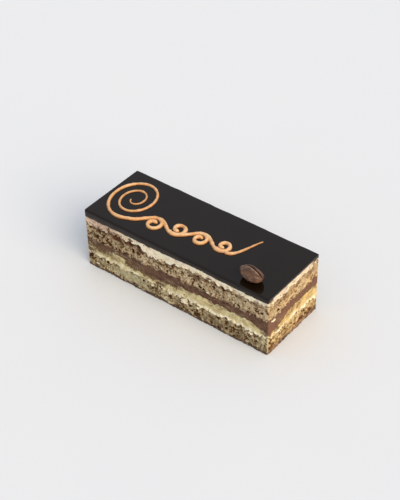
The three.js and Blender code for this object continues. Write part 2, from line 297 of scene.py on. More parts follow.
def pores(tree, place, size, share):
    """Depth, 0 to 1, of torn pores. share of the cells of the given size hold one."""
    bend = new_node(tree, "ShaderNodeTexNoise", {"Vector": place, "Detail": 1.0})
    tree.links.new(maths(tree, "DIVIDE", PORE_BEND_PITCH, size), bend.inputs["Scale"])
    shift = vector_maths(tree, "SUBTRACT", bend.outputs["Color"], (0.5, 0.5, 0.5))
    shift = vector_maths(tree, "SCALE", shift, times(tree, size, PORE_BEND))
    bent = vector_maths(tree, "ADD", place, shift)
    cells = new_node(tree, "ShaderNodeTexVoronoi", {"Vector": bent})
    tree.links.new(maths(tree, "DIVIDE", 1.0, size), cells.inputs["Scale"])
    random = new_node(tree, "ShaderNodeSeparateXYZ", {0: cells.outputs["Color"]}).outputs
    radius = maths(tree, "MULTIPLY_ADD", random[1], PORE_RADIUS_SPREAD, PORE_RADIUS)
    bottom = times(tree, radius, PORE_BOTTOM)
    hollow = fade(tree, cells.outputs["Distance"], radius, bottom)
    present = maths(tree, "LESS_THAN", random[0], share)
    depth = maths(tree, "MULTIPLY_ADD", random[2], 1 - SHALLOWEST_PORE, SHALLOWEST_PORE)
    return times(tree, times(tree, hollow, present), depth)


def held_value(tree, name, kind="FLOAT"):
    """In a geometry tree, what the points hold under a name."""
    node = new_node(tree, "GeometryNodeInputNamedAttribute", {"Name": name}, data_type=kind)
    return node.outputs["Attribute"]


def end_tree(tree, last, material, result):
    """Ends a geometry tree after its last node: instances become real and take the material."""
    realized = new_node(tree, "GeometryNodeRealizeInstances", {0: last.outputs[0]})
    finished = new_node(tree, "GeometryNodeSetMaterial",
                        {"Geometry": realized.outputs[0], "Material": material})
    tree.links.new(finished.outputs[0], result.inputs[0])


RELIEF_SIZES = ("Pore Size", "Pore Share", "Pore Depth", "Crag Size", "Crag Depth", "Tear Size",
                "Tear Depth", "Drag Length", "Drag Height", "Drag Depth")
# Between the pores lie finer ones.
# The finer pores are darkened less, and holes bitten this deep fully, as painted shade.
FINE_PORE_SIZE, FINE_PORE_DEPTH, FINE_PORE_SHADE = 0.42, 0.45, 0.7
FULL_SHADE_BITE = 0.8


def cut_face_tree():
    """Relief of a cut face, pressed in along "outward": torn pores, crags, wide tears, and streaks
    where the knife dragged the layer along. "bite" holds the deep holes, in metres. How dark the
    pores and holes are is stored as "pore", for the materials to paint as painted shade."""
    inputs = {"Geometry": ("Geometry", None)}
    inputs.update({label: ("Float", MM) for label in (*RELIEF_SIZES, "Seed")})
    inputs["Material"] = ("Material", None)
    outputs = {"Geometry": ("Geometry", None)}
    tree, given, result = new_group("cut_face_relief", "GeometryNodeTree", inputs, outputs)
    value = given.outputs

    position = new_node(tree, "GeometryNodeInputPosition").outputs[0]
    offset = new_node(tree, "ShaderNodeCombineXYZ", {0: value["Seed"], 2: value["Seed"]})
    place = vector_maths(tree, "ADD", position, offset.outputs[0])
    pore = pores(tree, place, value["Pore Size"], value["Pore Share"])
    fine_size = times(tree, value["Pore Size"], FINE_PORE_SIZE)
    fine_pore = pores(tree, place, fine_size, value["Pore Share"])

    def bumps(size, detail):
        scale = maths(tree, "DIVIDE", 1.0, size)
        texture = new_node(tree, "ShaderNodeTexNoise",
                           {"Vector": place, "Scale": scale, "Detail": detail, "Roughness": 0.66})
        return texture.outputs[0]

    run = maths(tree, "DIVIDE", 1.0, value["Drag Length"])
    across = maths(tree, "DIVIDE", 1.0, value["Drag Height"])
    stretch = new_node(tree, "ShaderNodeCombineXYZ", {0: run, 1: run, 2: across}).outputs[0]
    streaked = vector_maths(tree, "MULTIPLY", place, stretch)
    drag = new_node(tree, "ShaderNodeTexNoise", {"Vector": streaked, "Scale": 1.0, "Detail": 2.0})
    bite = held_value(tree, "bite")

    depth = bite
    shares = (
        (pore, value["Pore Depth"]),
        (fine_pore, times(tree, value["Pore Depth"], FINE_PORE_DEPTH)),
        (maths(tree, "SUBTRACT", bumps(value["Crag Size"], 3.0), 0.5), value["Crag Depth"]),
        (maths(tree, "SUBTRACT", bumps(value["Tear Size"], 1.0), 0.5), value["Tear Depth"]),
        (maths(tree, "SUBTRACT", drag.outputs[0], 0.5), value["Drag Depth"]),
    )
    for share, most in shares:
        depth = maths(tree, "ADD", depth, times(tree, share, most))

    outward = held_value(tree, "outward", "FLOAT_VECTOR")
    shift = vector_maths(tree, "SCALE", outward, times(tree, depth, -1.0))
    moved = new_node(tree, "GeometryNodeSetPosition",
                     {"Geometry": value["Geometry"], "Offset": shift})
    bitten = maths(tree, "DIVIDE", bite, FULL_SHADE_BITE * MM)
    pore_shade = maths(tree, "ADD", times(tree, fine_pore, FINE_PORE_SHADE), pore)
    pore_shade = maths(tree, "ADD", pore_shade, bitten, clamp=True)
    stored = new_node(tree, "GeometryNodeStoreNamedAttribute",
                      {"Geometry": moved.outputs[0], "Name": "pore", "Value": pore_shade},
                      data_type="FLOAT", domain="POINT")
    end_tree(tree, stored, value["Material"], result)
    return tree


def relief(pore, crag, tear, drag):
    """The relief's sizes, from millimetres: pore size, share and depth, crag size and depth, tear
    size and depth, and drag length, height and depth."""
    sizes = dict(zip(RELIEF_SIZES, (*pore, *crag, *tear, *drag)))
    return {label: size * (1 if label == "Pore Share" else MM) for label, size in sizes.items()}


def run_tree(piece, tree, inputs):
    """Runs a node tree on a piece with the given inputs, and keeps the result as a plain mesh."""
    modifier = piece.modifiers.new(tree.name, "NODES")
    modifier.node_group = tree
    for item in tree.interface.items_tree:
        if item.in_out == "INPUT" and item.name in inputs:
            modifier[item.identifier] = inputs[item.name]
    return keep_mesh(piece)


def keep_mesh(piece):
    """Turns a piece with modifiers, or a curve, into a plain mesh."""
    graph = bpy.context.evaluated_depsgraph_get()
    made = bpy.data.meshes.new_from_object(
        piece.evaluated_get(graph), preserve_all_data_layers=True, depsgraph=graph
    )
    piece.modifiers.clear()
    if piece.type == "MESH":
        piece.data = made
        return piece
    name = piece.name
    bpy.data.objects.remove(piece)
    return add_object(name, made)


def new_material(name):
    """A material with its tree, its Principled shader and the object coordinates."""
    material = bpy.data.materials.new(name)
    material.use_nodes = True
    tree = material.node_tree
    shader = tree.nodes["Principled BSDF"]
    place = new_node(tree, "ShaderNodeTexCoord").outputs["Object"]
    return material, tree, shader, place


def blend(tree, share, a, b):
    """Colour a where share is 0 and colour b where it is 1."""
    a, b = (c if isinstance(c, bpy.types.NodeSocket) else (*c, 1.0) for c in (a, b))
    inputs = {0: share, 6: a, 7: b}
    return new_node(tree, "ShaderNodeMix", inputs, data_type="RGBA").outputs[2]


def painted(tree, name):
    """In a material, what the points hold under a name."""
    return new_node(tree, "ShaderNodeAttribute", attribute_name=name).outputs["Fac"]


def grain(tree, place, size, detail=2.0, roughness=0.5):
    """Noise of 0 to 1, with grains of the given size in millimetres."""
    inputs = {"Vector": place, "Scale": 1 / (size * MM), "Detail": detail, "Roughness": roughness}
    return new_node(tree, "ShaderNodeTexNoise", inputs).outputs[0]


def bump(tree, shader, height, depth, strength=1.0):
    """Feeds a height of 0 to 1, worth depth in millimetres, to the shader's normal."""
    inputs = {"Height": height, "Distance": depth * MM, "Strength": strength}
    tree.links.new(new_node(tree, "ShaderNodeBump", inputs).outputs[0], shader.inputs["Normal"])


def surface(tree, shader, colour, dulling, span, smoothest):
    """Sets the colour, and a roughness of smoothest plus span times the dulling, which is 0 to 1."""
    tree.links.new(colour, shader.inputs["Base Color"])
    rough = maths(tree, "MULTIPLY_ADD", dulling, span, smoothest)
    tree.links.new(rough, shader.inputs["Roughness"])


# A smear shows where its texture is above an edge, which falls from SMEAR_EDGE as the cover grows.
SMEAR_EDGE, SMEAR_EDGE_FALL, SMEAR_SOFTNESS = 0.71, -0.42, 0.05


def smear_group():
    """Mask of what the knife dragged over a cut face: long ragged patches, 0 to 1.

    Length and Height are a patch's size, and Cover is the share of the face that it takes."""
    inputs = {"Vector": ("Vector", None), "Length": ("Float", 5 * MM), "Height": ("Float", MM),
              "Cover": ("Float", 0.3), "Seed": ("Float", 0.0)}
    tree, given, result = new_group("knife_smear", "ShaderNodeTree", inputs, {"Mask": ("Float", None)})
    run = maths(tree, "DIVIDE", 1.0, given.outputs["Length"])
    across = maths(tree, "DIVIDE", 1.0, given.outputs["Height"])
    stretch = new_node(tree, "ShaderNodeCombineXYZ", {0: run, 1: run, 2: across}).outputs[0]
    place = vector_maths(tree, "MULTIPLY", given.outputs["Vector"], stretch)
    seed = new_node(tree, "ShaderNodeCombineXYZ", {0: given.outputs["Seed"], 1: given.outputs["Seed"]})
    place = vector_maths(tree, "ADD", place, seed.outputs[0])
    wide = new_node(tree, "ShaderNodeTexNoise",
                    {"Vector": place, "Scale": 1.0, "Detail": 5.0, "Roughness": 0.68}).outputs[0]
    edge = maths(tree, "MULTIPLY_ADD", given.outputs["Cover"], SMEAR_EDGE_FALL, SMEAR_EDGE)
    start = maths(tree, "SUBTRACT", edge, SMEAR_SOFTNESS)
    mask = fade(tree, wide, start, maths(tree, "ADD", edge, SMEAR_SOFTNESS))
    tree.links.new(mask, result.inputs[0])
    return tree


KNIFE_SMEAR = smear_group()


def smear(tree, place, length, height, cover, seed):
    """The smear mask in a material, with its sizes in millimetres."""
    inputs = {"Vector": place, "Length": length * MM, "Height": height * MM, "Cover": cover,
              "Seed": seed}
    return new_node(tree, "ShaderNodeGroup", inputs, node_tree=KNIFE_SMEAR).outputs[0]


CUT_FACE = cut_face_tree()

base_top = make_seam(edges=(1.0, 1.3, 2.4, 1.7), ripple=0.15, phase=0.4, torn=(0.8, 1.2), torn_size=2.2)
base = Slab("base_chocolate_coat", floor_level, base_top, rows=9, under_lap=0)

COAT_DARK, COAT_LIGHT = (0.020, 0.009, 0.005), (0.055, 0.026, 0.013)
CRUMB_ON_COAT, CRUMB_ON_COAT_WARM_LIT = (0.150, 0.085, 0.040), (0.310, 0.175, 0.080)

material, tree, shader, place = new_material("dark_chocolate_coat")
crumbed = smear(tree, place, length=3.0, height=1.0, cover=0.45, seed=4.0)
end_crumbed = smear(tree, place, length=3.0, height=1.6, cover=0.52, seed=9.0)
tone = blend(tree, grain(tree, place, 1.5), COAT_DARK, COAT_LIGHT)
colour = blend(tree, crumbed, tone, CRUMB_ON_COAT)
# On the cut ends the crumbs are real, but painted brighter and more orange, as painted warm light.
patched = times(tree, end_crumbed, painted(tree, "end_face"))
colour = blend(tree, patched, colour, CRUMB_ON_COAT_WARM_LIT)
surface(tree, shader, colour, crumbed, span=0.3, smoothest=0.5)
bump(tree, shader, grain(tree, place, 0.35, 4.0), depth=0.12, strength=0.7)

base.paint("bite", 0 * base.x)
BASE_RELIEF = relief(pore=(1.6, 0.3, 0.5), crag=(1.5, 1.2), tear=(4, 0.6), drag=(5, 0.7, 0.2))
run_tree(base.piece, CUT_FACE, {**BASE_RELIEF, "Seed": 0.3, "Material": material})
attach(base.piece, "root")
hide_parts("chocolate_base")

# ---------- Lower sponge ----------
# Almond sponge, baked as a thin sheet and soaked with coffee syrup. The knife tears its open crumb, so
# the cut faces are full of pores, with darker baked skin along its top and bottom.
lower_sponge_top = make_seam(
    edges=(8.0, 9.6, 8.9, 8.4), ripple=0.22, phase=1.9, torn=(0.8, 1.5), torn_size=2.2,
    swells=((-4, -HALF_WIDTH, 1.9, -1.5), (6.5, -HALF_WIDTH, 1.9, -1.3),
            (18, HALF_WIDTH, 2.6, -1.4), (-HALF_LENGTH, 5, 2.4, -1.2)),
)

# A hole of full strength is torn this deep.
HOLE_DEPTH = 0.9


def scattered_spots(seed, count, heights, radius, deepest):
    """Evenly drawn holes for the faces that have none listed, in the form of patches."""
    draws = np.random.default_rng(seed)
    faces = (("back", HALF_LENGTH), ("left", HALF_WIDTH), ("right", HALF_WIDTH))
    reach = sum(half for _, half in faces)
    spots = {face: [] for face, _ in faces}
    for face, half in faces:
        for _ in range(round(count * half / reach)):
            size = draws.uniform(*radius)
            spots[face].append((draws.uniform(-half, half), draws.uniform(*heights),
                                size * draws.uniform(1, 1.4), size, deepest * draws.uniform(0.5, 1)))
    return spots


def crumb_group():
    """Open cake crumb: its tone from dark to pale, with its pits painted darker as painted shade, and its
    height.
    """
    inputs = {"Vector": ("Vector", None), "Crumb Size": ("Float", MM), "Seed": ("Float", 0.0)}
    outputs = {"Tone": ("Float", None), "Height": ("Float", None)}
    tree, given, result = new_group("open_crumb", "ShaderNodeTree", inputs, outputs)
    seed = new_node(tree, "ShaderNodeCombineXYZ", {0: given.outputs["Seed"], 2: given.outputs["Seed"]})
    place = vector_maths(tree, "ADD", given.outputs["Vector"], seed.outputs[0])
    scale = maths(tree, "DIVIDE", 1.0, given.outputs["Crumb Size"])

    def texture(kind, share, **more):
        inputs = {"Vector": place, "Scale": times(tree, scale, share), **more}
        return new_node(tree, kind, inputs).outputs[0]

    clumps = texture("ShaderNodeTexNoise", 0.45, Detail=3.0, Roughness=0.6)
    walls = texture("ShaderNodeTexNoise", 1.0, Detail=3.0, Roughness=0.7)
    pits = texture("ShaderNodeTexVoronoi", 0.9)
    both = maths(tree, "ADD", times(tree, clumps, 0.45), times(tree, walls, 0.55))
    tone = fade(tree, both, 0.36, 0.62)
    pit = times(tree, fade(tree, pits, 0.42, 0.16), fade(tree, walls, 0.60, 0.42))
    tone = maths(tree, "SUBTRACT", tone, times(tree, pit, 0.75), clamp=True)
    height = maths(tree, "SUBTRACT", walls, times(tree, pit, 0.6))
    for label, value in (("Tone", tone), ("Height", height)):
        tree.links.new(value, result.inputs[label])
    return tree


OPEN_CRUMB = crumb_group()

CRUMB_SIZE = 1.2
# The colour of painted shade in the crumb's pits and pores.
CRUMB_PIT_SHADE = (0.058, 0.021, 0.006)
CRUMB_BROWN = (0.185, 0.095, 0.038)
# The tint of painted warm light on the cut ends, as from the warm glow at the right.
WARM_END_LIGHT = (1.0, 0.80, 0.52, 1.0)
# The knife saws up and down and leaves upright streaks in the crumb.
SAW_STRETCH = (1.0, 1.0, 0.22)
SAW_STREAK_SHARE = 0.55


def warm_lit(tree, colour):
    """The colour tinted by painted warm light, as the glow at the right lights a cut end."""
    inputs = {0: 1.0, 6: colour, 7: WARM_END_LIGHT}
    node = new_node(tree, "ShaderNodeMix", inputs, data_type="RGBA", blend_type="MULTIPLY")
    return node.outputs[2]


def sponge_material(name, seed, pale, middling, evened_out, toasted_brown, dragged_cream):
    """Sponge crumb: pale walls, pores darkened as painted shade, browned skin, cream dragged over it, and
    painted warm light on its cut ends.

    The last five are its colours: of the walls, between them, where the crumb is even, of the
    browned skin, and of the cream."""
    material, tree, shader, place = new_material(name)
    inputs = {"Vector": place, "Crumb Size": CRUMB_SIZE * MM, "Seed": seed}
    crumb = new_node(tree, "ShaderNodeGroup", inputs, node_tree=OPEN_CRUMB)
    tone = crumb.outputs["Tone"]
    pore = painted(tree, "pore")
    rise = painted(tree, "rise")
    end_face = painted(tree, "end_face")
    smooth = painted(tree, "smooth")

    sawn = grain(tree, vector_maths(tree, "MULTIPLY", place, SAW_STRETCH), 0.45, 2.0)
    sawn = times(tree, maths(tree, "SUBTRACT", sawn, 0.5), SAW_STREAK_SHARE)
    tone = maths(tree, "ADD", tone, sawn)
    # The cut ends are painted lighter and then warmer, as painted warm light; the "shade" patches darken
    # the tone.
    end_light_and_shade = times(tree, end_face, 0.20)
    end_light_and_shade = maths(tree, "SUBTRACT", end_light_and_shade, times(tree, painted(tree, "shade"), 0.42))
    tone = maths(tree, "ADD", tone, end_light_and_shade, clamp=True)
    colour = blend(tree, fade(tree, tone, 0.0, 0.34), CRUMB_BROWN, middling)
    colour = blend(tree, fade(tree, tone, 0.38, 0.95), colour, pale)
    # The darkest crumb tone, in the pits, takes the painted shade colour.
    colour = blend(tree, fade(tree, tone, 0.12, 0.0), colour, CRUMB_PIT_SHADE)
    colour = blend(tree, times(tree, end_face, 0.5), colour, warm_lit(tree, colour))
    olive = fade(tree, grain(tree, place, 4.0, 2.0), 0.48, 0.66)
    colour = blend(tree, times(tree, olive, 0.35), colour, evened_out)
    colour = blend(tree, times(tree, smooth, 0.75), colour, evened_out)
    skin = maths(tree, "ADD", fade(tree, rise, 0.84, 0.97), fade(tree, rise, 0.16, 0.02))
    ragged = fade(tree, grain(tree, place, 1.8, 3.0, 0.65), 0.40, 0.56)
    skin = times(tree, skin, times(tree, ragged, 0.75))
    torn = fade(tree, grain(tree, place, 1.3, 3.0, 0.7), 0.34, 0.50)
    toasted = times(tree, painted(tree, "toast"), torn)
    brown = maths(tree, "MAXIMUM", skin, toasted)
    colour = blend(tree, brown, colour, toasted_brown)
    creamy = smear(tree, place, length=2.6, height=0.8, cover=0.16, seed=seed)
    near_seam = fade(tree, maths(tree, "ABSOLUTE", maths(tree, "SUBTRACT", rise, 0.5)), 0.28, 0.46)
    creamy = times(tree, times(tree, creamy, near_seam), 0.8)
    colour = blend(tree, creamy, colour, dragged_cream)
    # Pores and holes are painted dark, as painted shade.
    colour = blend(tree, fade(tree, pore, 0.12, 0.55), colour, CRUMB_PIT_SHADE)
    surface(tree, shader, colour, creamy, span=-0.3, smoothest=0.86)
    shader.inputs["Specular IOR Level"].default_value = 0.1
    bump(tree, shader, crumb.outputs["Height"], depth=0.45, strength=0.9)
    return material


sponge = Slab("lower_sponge_crumb", base_top, lower_sponge_top, rows=38)
holes = {
    "front": (
        (1.0, 7.8, 0.9, 1.0, 0.9), (8.2, 8.1, 0.6, 0.9, 0.9), (12.5, 5.4, 0.7, 1.1, 0.8),
        (15.7, 7.8, 0.6, 1.0, 0.9), (24.1, 6.8, 0.9, 0.6, 0.8), (28.0, 9.2, 0.6, 1.1, 0.9),
        (33.0, 7.6, 0.5, 0.8, 0.8), (35.9, 8.6, 0.5, 0.6, 0.7), (44.0, 4.6, 1.0, 0.5, 0.8),
        (40.4, 6.4, 0.8, 0.5, 0.7), (-15.0, 4.1, 0.8, 0.5, 0.7), (-17.3, 6.4, 0.5, 0.9, 0.8),
        (-38.0, 6.6, 0.7, 0.9, 0.9), (-47.5, 7.6, 1.6, 0.9, 0.7), (-12.4, 5.5, 0.5, 0.7, 0.6),
        (-5.6, 7.0, 0.6, 0.5, 0.6), (20.0, 3.4, 0.8, 0.5, 0.5), (10.0, 3.4, 0.7, 0.5, 0.5),
    ),
    **scattered_spots(seed=5, count=34, heights=(3.0, 8.3), radius=(0.45, 0.85), deepest=0.9),
}
sponge.paint("bite", sponge.patches(holes, wander=0.9, wander_size=0.7) * HOLE_DEPTH * MM)
browned = {
    "front": (
        (-48.5, 7.4, 2.4, 1.0, 0.9), (-43.0, 3.0, 3.0, 0.9, 0.5), (20.5, 5.6, 2.2, 1.3, 0.8),
        (3.0, 4.6, 5.0, 1.4, 0.45), (30.0, 3.4, 16.0, 1.2, 0.55), (36.3, 6.0, 1.2, 1.4, 0.6),
    ),
    "right": (
        (5.8, 3.6, 2.8, 1.9, 1.0), (12.5, 3.4, 3.0, 1.9, 1.0), (-16.0, 3.0, 3.0, 1.9, 1.0),
        (-6.0, 3.4, 6.0, 0.9, 0.8),
    ),
    "back": ((10.0, 6.8, 4.0, 1.2, 0.7), (-28.0, 7.4, 5.0, 1.0, 0.6)),
    "left": ((4.0, 6.6, 4.0, 1.2, 0.6),),
}
sponge.paint("toast", sponge.patches(browned, wander=0.5, wander_size=1.6))
shaded = {
    "front": ((26.0, 5.0, 30.0, 6.0, 0.66), (-46.0, 5.0, 6.0, 5.0, 0.6), (-12.0, 5.0, 5.0, 4.0, 0.7)),
    "back": ((20.0, 5.0, 20.0, 5.0, 0.5),),
    "left": ((0.0, 4.5, 10.0, 5.0, 0.4),),
    "right": ((0.0, 4.0, 30.0, 5.0, 0.5),),
}
sponge.paint("shade", sponge.patches(shaded, wander=0.3, wander_size=4.0))
evened = {
    "front": ((-24.0, 4.6, 11.0, 2.6, 1.0), (-40.0, 4.2, 3.0, 1.2, 0.6), (26.0, 4.6, 5.0, 1.0, 0.4)),
    "back": ((-6.0, 4.8, 12.0, 2.0, 0.8),),
}
sponge.paint("smooth", sponge.patches(evened, wander=0.5, wander_size=2.5))
lower_crumb = sponge_material(
    "soaked_sponge_lower", seed=1.7, pale=(0.68, 0.57, 0.36), middling=(0.36, 0.27, 0.14),
    evened_out=(0.475, 0.425, 0.255), toasted_brown=(0.112, 0.045, 0.022),
    dragged_cream=(0.80, 0.72, 0.50),
)
SPONGE_RELIEF = relief(pore=(2.0, 0.46, 1.0), crag=(1.6, 2.1), tear=(4.5, 0.8), drag=(3, 0.9, 0.2))
run_tree(sponge.piece, CUT_FACE, {**SPONGE_RELIEF, "Seed": 1.1, "Material": lower_crumb})
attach(sponge.piece, "root")
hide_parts("sponge_lower")

# ---------- Lower buttercream ----------
# Coffee buttercream, spread over the lower sponge: thin and mixed with crumbs at the left, a thick
# yellow band at the right. The knife drags it sideways and leaves a sharp lower edge, which is painted
# pale as a painted highlight.
ganache_under = make_seam(
    edges=(13.2, 14.8, 15.0, 13.8), ripple=0.3, phase=3.1, torn=(1.1, 0.6), torn_size=2.6,
    swells=((-9, -HALF_WIDTH, 10, -2.2), (-31, -HALF_WIDTH, 4.5, 1.3), (HALF_LENGTH, -12, 6, -3.0),
            (HALF_LENGTH, -HALF_WIDTH, 5, -2.3), (-16, HALF_WIDTH, 12, -1.6)),
)

# In cream and ganache it is shallower, because they give.
DENT_DEPTH = 0.6
LIP_RAG_SIZE = 1.9


def torn_lip(slab, reach, proud):
    """How far a cream's torn lower edge hangs out over the sponge, as a negative bite. It fades out
    at reach, a share of the layer's height, and stands about as far out as proud."""
    ragged = np.clip(0.6 + unevenness(slab.x + slab.y, slab.z, 8.8, LIP_RAG_SIZE), 0, 1.4)
    return -proud * ragged * np.clip(1 - slab.rise / reach, 0, 1)


CRUMB_IN_CREAM = (0.185, 0.120, 0.054)
COFFEE_BLUSH = (0.62, 0.41, 0.29)
LIT_EDGE_PALE = (0.90, 0.80, 0.57)
UNDER_LIP_SHADE = (0.034, 0.020, 0.009)


def cream_material(name, seed, deep, light, soil_colour, end_warm_light):
    """Buttercream: paler on its ridges and along its lower edge, which is painted highlight, with crumbs
    and ganache smeared into it ("soil"), or only tinting it ("stain"). Its dents and pores are darkened
    as painted shade, a line of painted shade runs under the glaze's lip, and its cut ends get painted
    warm light, as strong as the last argument."""
    material, tree, shader, place = new_material(name)
    rise = painted(tree, "rise")
    ridge = smear(tree, place, length=4.0, height=0.7, cover=0.5, seed=seed)
    cloud = grain(tree, place, 3.0, 3.0, 0.6)
    colour = blend(tree, fade(tree, cloud, 0.35, 0.65), deep, light)
    # Its ridges are painted paler, a painted highlight.
    colour = blend(tree, times(tree, ridge, 0.4), colour, light)
    blush = times(tree, painted(tree, "blush"), 0.8)
    colour = blend(tree, blush, colour, COFFEE_BLUSH)
    # The cut ends are warmed by painted warm light.
    colour = blend(tree, times(tree, painted(tree, "end_face"), end_warm_light), colour,
                   warm_lit(tree, colour))
    stain = times(tree, painted(tree, "stain"), fade(tree, cloud, 0.62, 0.38))
    colour = blend(tree, stain, colour, soil_colour)
    # The torn lower edge is painted pale, a painted highlight.
    edge = times(tree, fade(tree, rise, 0.36, 0.06), painted(tree, "lit_edge"))
    edge = times(tree, edge, fade(tree, grain(tree, place, 2.6, 2.0), 0.32, 0.52))
    colour = blend(tree, edge, colour, LIT_EDGE_PALE)
    soil = painted(tree, "soil")
    crumbly = maths(tree, "SUBTRACT", grain(tree, place, 0.9, 5.0, 0.8), 0.5)
    crumbly = times(tree, crumbly, 2.6)
    dirt = fade(tree, maths(tree, "ADD", soil, crumbly), 0.0, 0.58)
    dirt = times(tree, dirt, fade(tree, soil, 0.02, 0.22))
    crumb_share = fade(tree, grain(tree, place, 1.4, 4.0, 0.7), 0.44, 0.60)
    mixed_in = blend(tree, crumb_share, soil_colour, CRUMB_IN_CREAM)
    colour = blend(tree, dirt, colour, mixed_in)
    # Dents and pores are painted darker with the soil colour, as painted shade.
    colour = blend(tree, times(tree, painted(tree, "pore"), 0.45), colour, soil_colour)
    # A line of painted shade under the glaze's lip.
    colour = blend(tree, painted(tree, "lip_shade"), colour, UNDER_LIP_SHADE)
    surface(tree, shader, colour, dirt, span=0.25, smoothest=0.52)
    shader.inputs["Specular IOR Level"].default_value = 0.25
    shader.inputs["Subsurface Weight"].default_value = 0.25
    shader.inputs["Subsurface Radius"].default_value = (1.2 * MM, 0.7 * MM, 0.35 * MM)
    shader.inputs["Subsurface Scale"].default_value = 1.0
    lumps = maths(tree, "ADD", grain(tree, place, 1.1, 4.0, 0.6), times(tree, ridge, 0.4))
    bump(tree, shader, lumps, depth=0.12, strength=0.9)
    return material


cream = Slab("lower_buttercream_spread", lower_sponge_top, ganache_under, rows=24)
dents = scattered_spots(seed=8, count=12, heights=(9.6, 13.0), radius=(0.3, 0.6), deepest=0.6)
dented = DENT_DEPTH * cream.patches(dents)
cream.paint("bite", (dented + torn_lip(cream, reach=0.28, proud=0.55)) * MM)
cream.paint("blush", 0 * cream.x)
cream.paint("lit_edge", np.where(cream.x > 5, 1.0, 0.7))
cream.paint("lip_shade", 0 * cream.x)
soiled = {
    "front": (
        (-42.0, 13.0, 7.0, 2.2, 1.0), (-28.0, 14.4, 9.0, 0.9, 0.8), (-24.0, 12.4, 3.2, 2.2, 1.2),
        (-14.0, 12.2, 8.0, 2.3, 1.0), (-8.0, 9.6, 2.6, 1.0, 0.8), (-48.0, 9.6, 2.4, 1.4, 0.8),
        (-1.0, 12.8, 3.6, 1.5, 0.9),
    ),
    "back": ((-20.0, 12.4, 9.0, 1.6, 0.9), (16.0, 13.6, 6.0, 0.8, 0.7)),
    "left": ((0.0, 12.2, 7.0, 1.6, 0.9),),
}
cream.paint("soil", cream.patches(soiled, wander=0.6, wander_size=1.5, steepness=1))
stained = {
    "front": (
        (2.0, 12.2, 5.0, 2.0, 0.7), (22.0, 12.6, 3.5, 1.4, 0.5), (33.0, 13.6, 8.0, 1.0, 0.5),
        (48.5, 12.0, 4.0, 2.4, 0.9), (-36.0, 10.6, 12.0, 1.4, 0.4),
    ),
    "right": ((-14.5, 11.4, 6.5, 2.6, 1.0), (0.0, 12.8, 7.0, 1.6, 0.8), (10.0, 14.4, 6.0, 0.9, 0.5)),
    "back": ((30.0, 13.0, 12.0, 1.2, 0.5), (-2.0, 12.0, 8.0, 1.4, 0.6)),
}
ganache_drawn_down = 0.75 * np.clip((cream.rise - 0.55) / 0.45, 0, 1)
cream.paint("stain", np.maximum(cream.patches(stained, wander=0.3, wander_size=3.0), ganache_drawn_down))
thick_cream = cream_material(
    "coffee_buttercream_lower", seed=2.0, deep=(0.46, 0.355, 0.165), light=(0.70, 0.59, 0.31),
    soil_colour=(0.125, 0.064, 0.030), end_warm_light=0.7,
)
CREAM_RELIEF = relief(pore=(1.3, 0.07, 0.35), crag=(2.2, 0.9), tear=(5, 0.6), drag=(5, 1.2, 0.45))
run_tree(cream.piece, CUT_FACE, {**CREAM_RELIEF, "Seed": 2.3, "Material": thick_cream})
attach(cream.piece, "root")
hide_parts("buttercream_lower")

# ---------- Ganache ----------
# A band of dark chocolate ganache, soft when it was spread and firm when cut. The knife leaves it
# smooth at the right and smears it into the crumbs at the left.
ganache_top = make_seam(
    edges=(15.7, 18.6, 19.3, 16.6), ripple=0.25, phase=4.6, torn=(0.9, 0.8), torn_size=1.9
)
ganache = Slab("ganache_spread", ganache_under, ganache_top, rows=16)
holes = {
    "front": (
        (-45.5, 15.6, 0.8, 0.4, 0.8), (-36.2, 16.0, 0.7, 0.5, 0.9), (-27.4, 16.2, 0.9, 0.5, 0.9),
        (-21.0, 15.8, 0.6, 0.4, 0.8), (9.0, 16.6, 0.7, 0.4, 0.7), (16.6, 17.0, 0.9, 0.5, 1.0),
        (19.0, 17.3, 0.5, 0.4, 0.9), (29.2, 17.6, 0.7, 0.4, 0.8), (40.0, 18.0, 0.5, 0.4, 1.0),
        (44.0, 18.2, 0.5, 0.4, 1.0),
    ),
    **scattered_spots(seed=9, count=8, heights=(15.2, 17.2), radius=(0.3, 0.5), deepest=0.8),
}
holes["right"].append((-12.6, 14.0, 0.6, 0.6, 1.0))
ganache.paint("bite", ganache.patches(holes) * DENT_DEPTH * MM)
crumbed_spots = {
    "front": (
        (-46.0, 14.8, 4.0, 0.8, 0.6), (-29.0, 15.0, 6.0, 0.8, 0.7), (-19.0, 13.6, 2.6, 1.0, 0.9),
        (-14.0, 16.6, 4.0, 0.6, 0.7), (-2.0, 14.0, 3.0, 0.8, 0.6), (30.0, 16.0, 2.4, 0.9, 0.5),
        (37.0, 15.6, 1.2, 1.2, 0.6),
    ),
    "right": ((-9.0, 14.6, 3.4, 1.2, 0.55),),
    "back": ((-8.0, 15.4, 8.0, 1.0, 0.6),),
    "left": ((6.0, 15.0, 5.0, 0.8, 0.6),),
}
ganache.paint("crumbed", ganache.patches(crumbed_spots, wander=0.6, wander_size=1.4, steepness=1))

GANACHE_DARK, GANACHE_LIGHT = (0.072, 0.032, 0.016), (0.148, 0.072, 0.037)
GANACHE_BLOOM, GANACHE_WARM_LIT_END = (0.180, 0.094, 0.062), (0.215, 0.098, 0.056)
CRUMB_IN_GANACHE, PIT_SHADE_IN_CRUMBS = (0.36, 0.260, 0.150), (0.030, 0.013, 0.007)
# Painted shade in the ganache's pores.
GANACHE_PORE_SHADE = (0.035, 0.016, 0.010)

material, tree, shader, place = new_material("dark_ganache")
cloud = grain(tree, place, 2.4, 4.0, 0.65)
colour = blend(tree, fade(tree, cloud, 0.35, 0.65), GANACHE_DARK, GANACHE_LIGHT)
bloom = times(tree, smear(tree, place, length=5.0, height=0.5, cover=0.34, seed=7.0), 0.5)
colour = blend(tree, bloom, colour, GANACHE_BLOOM)
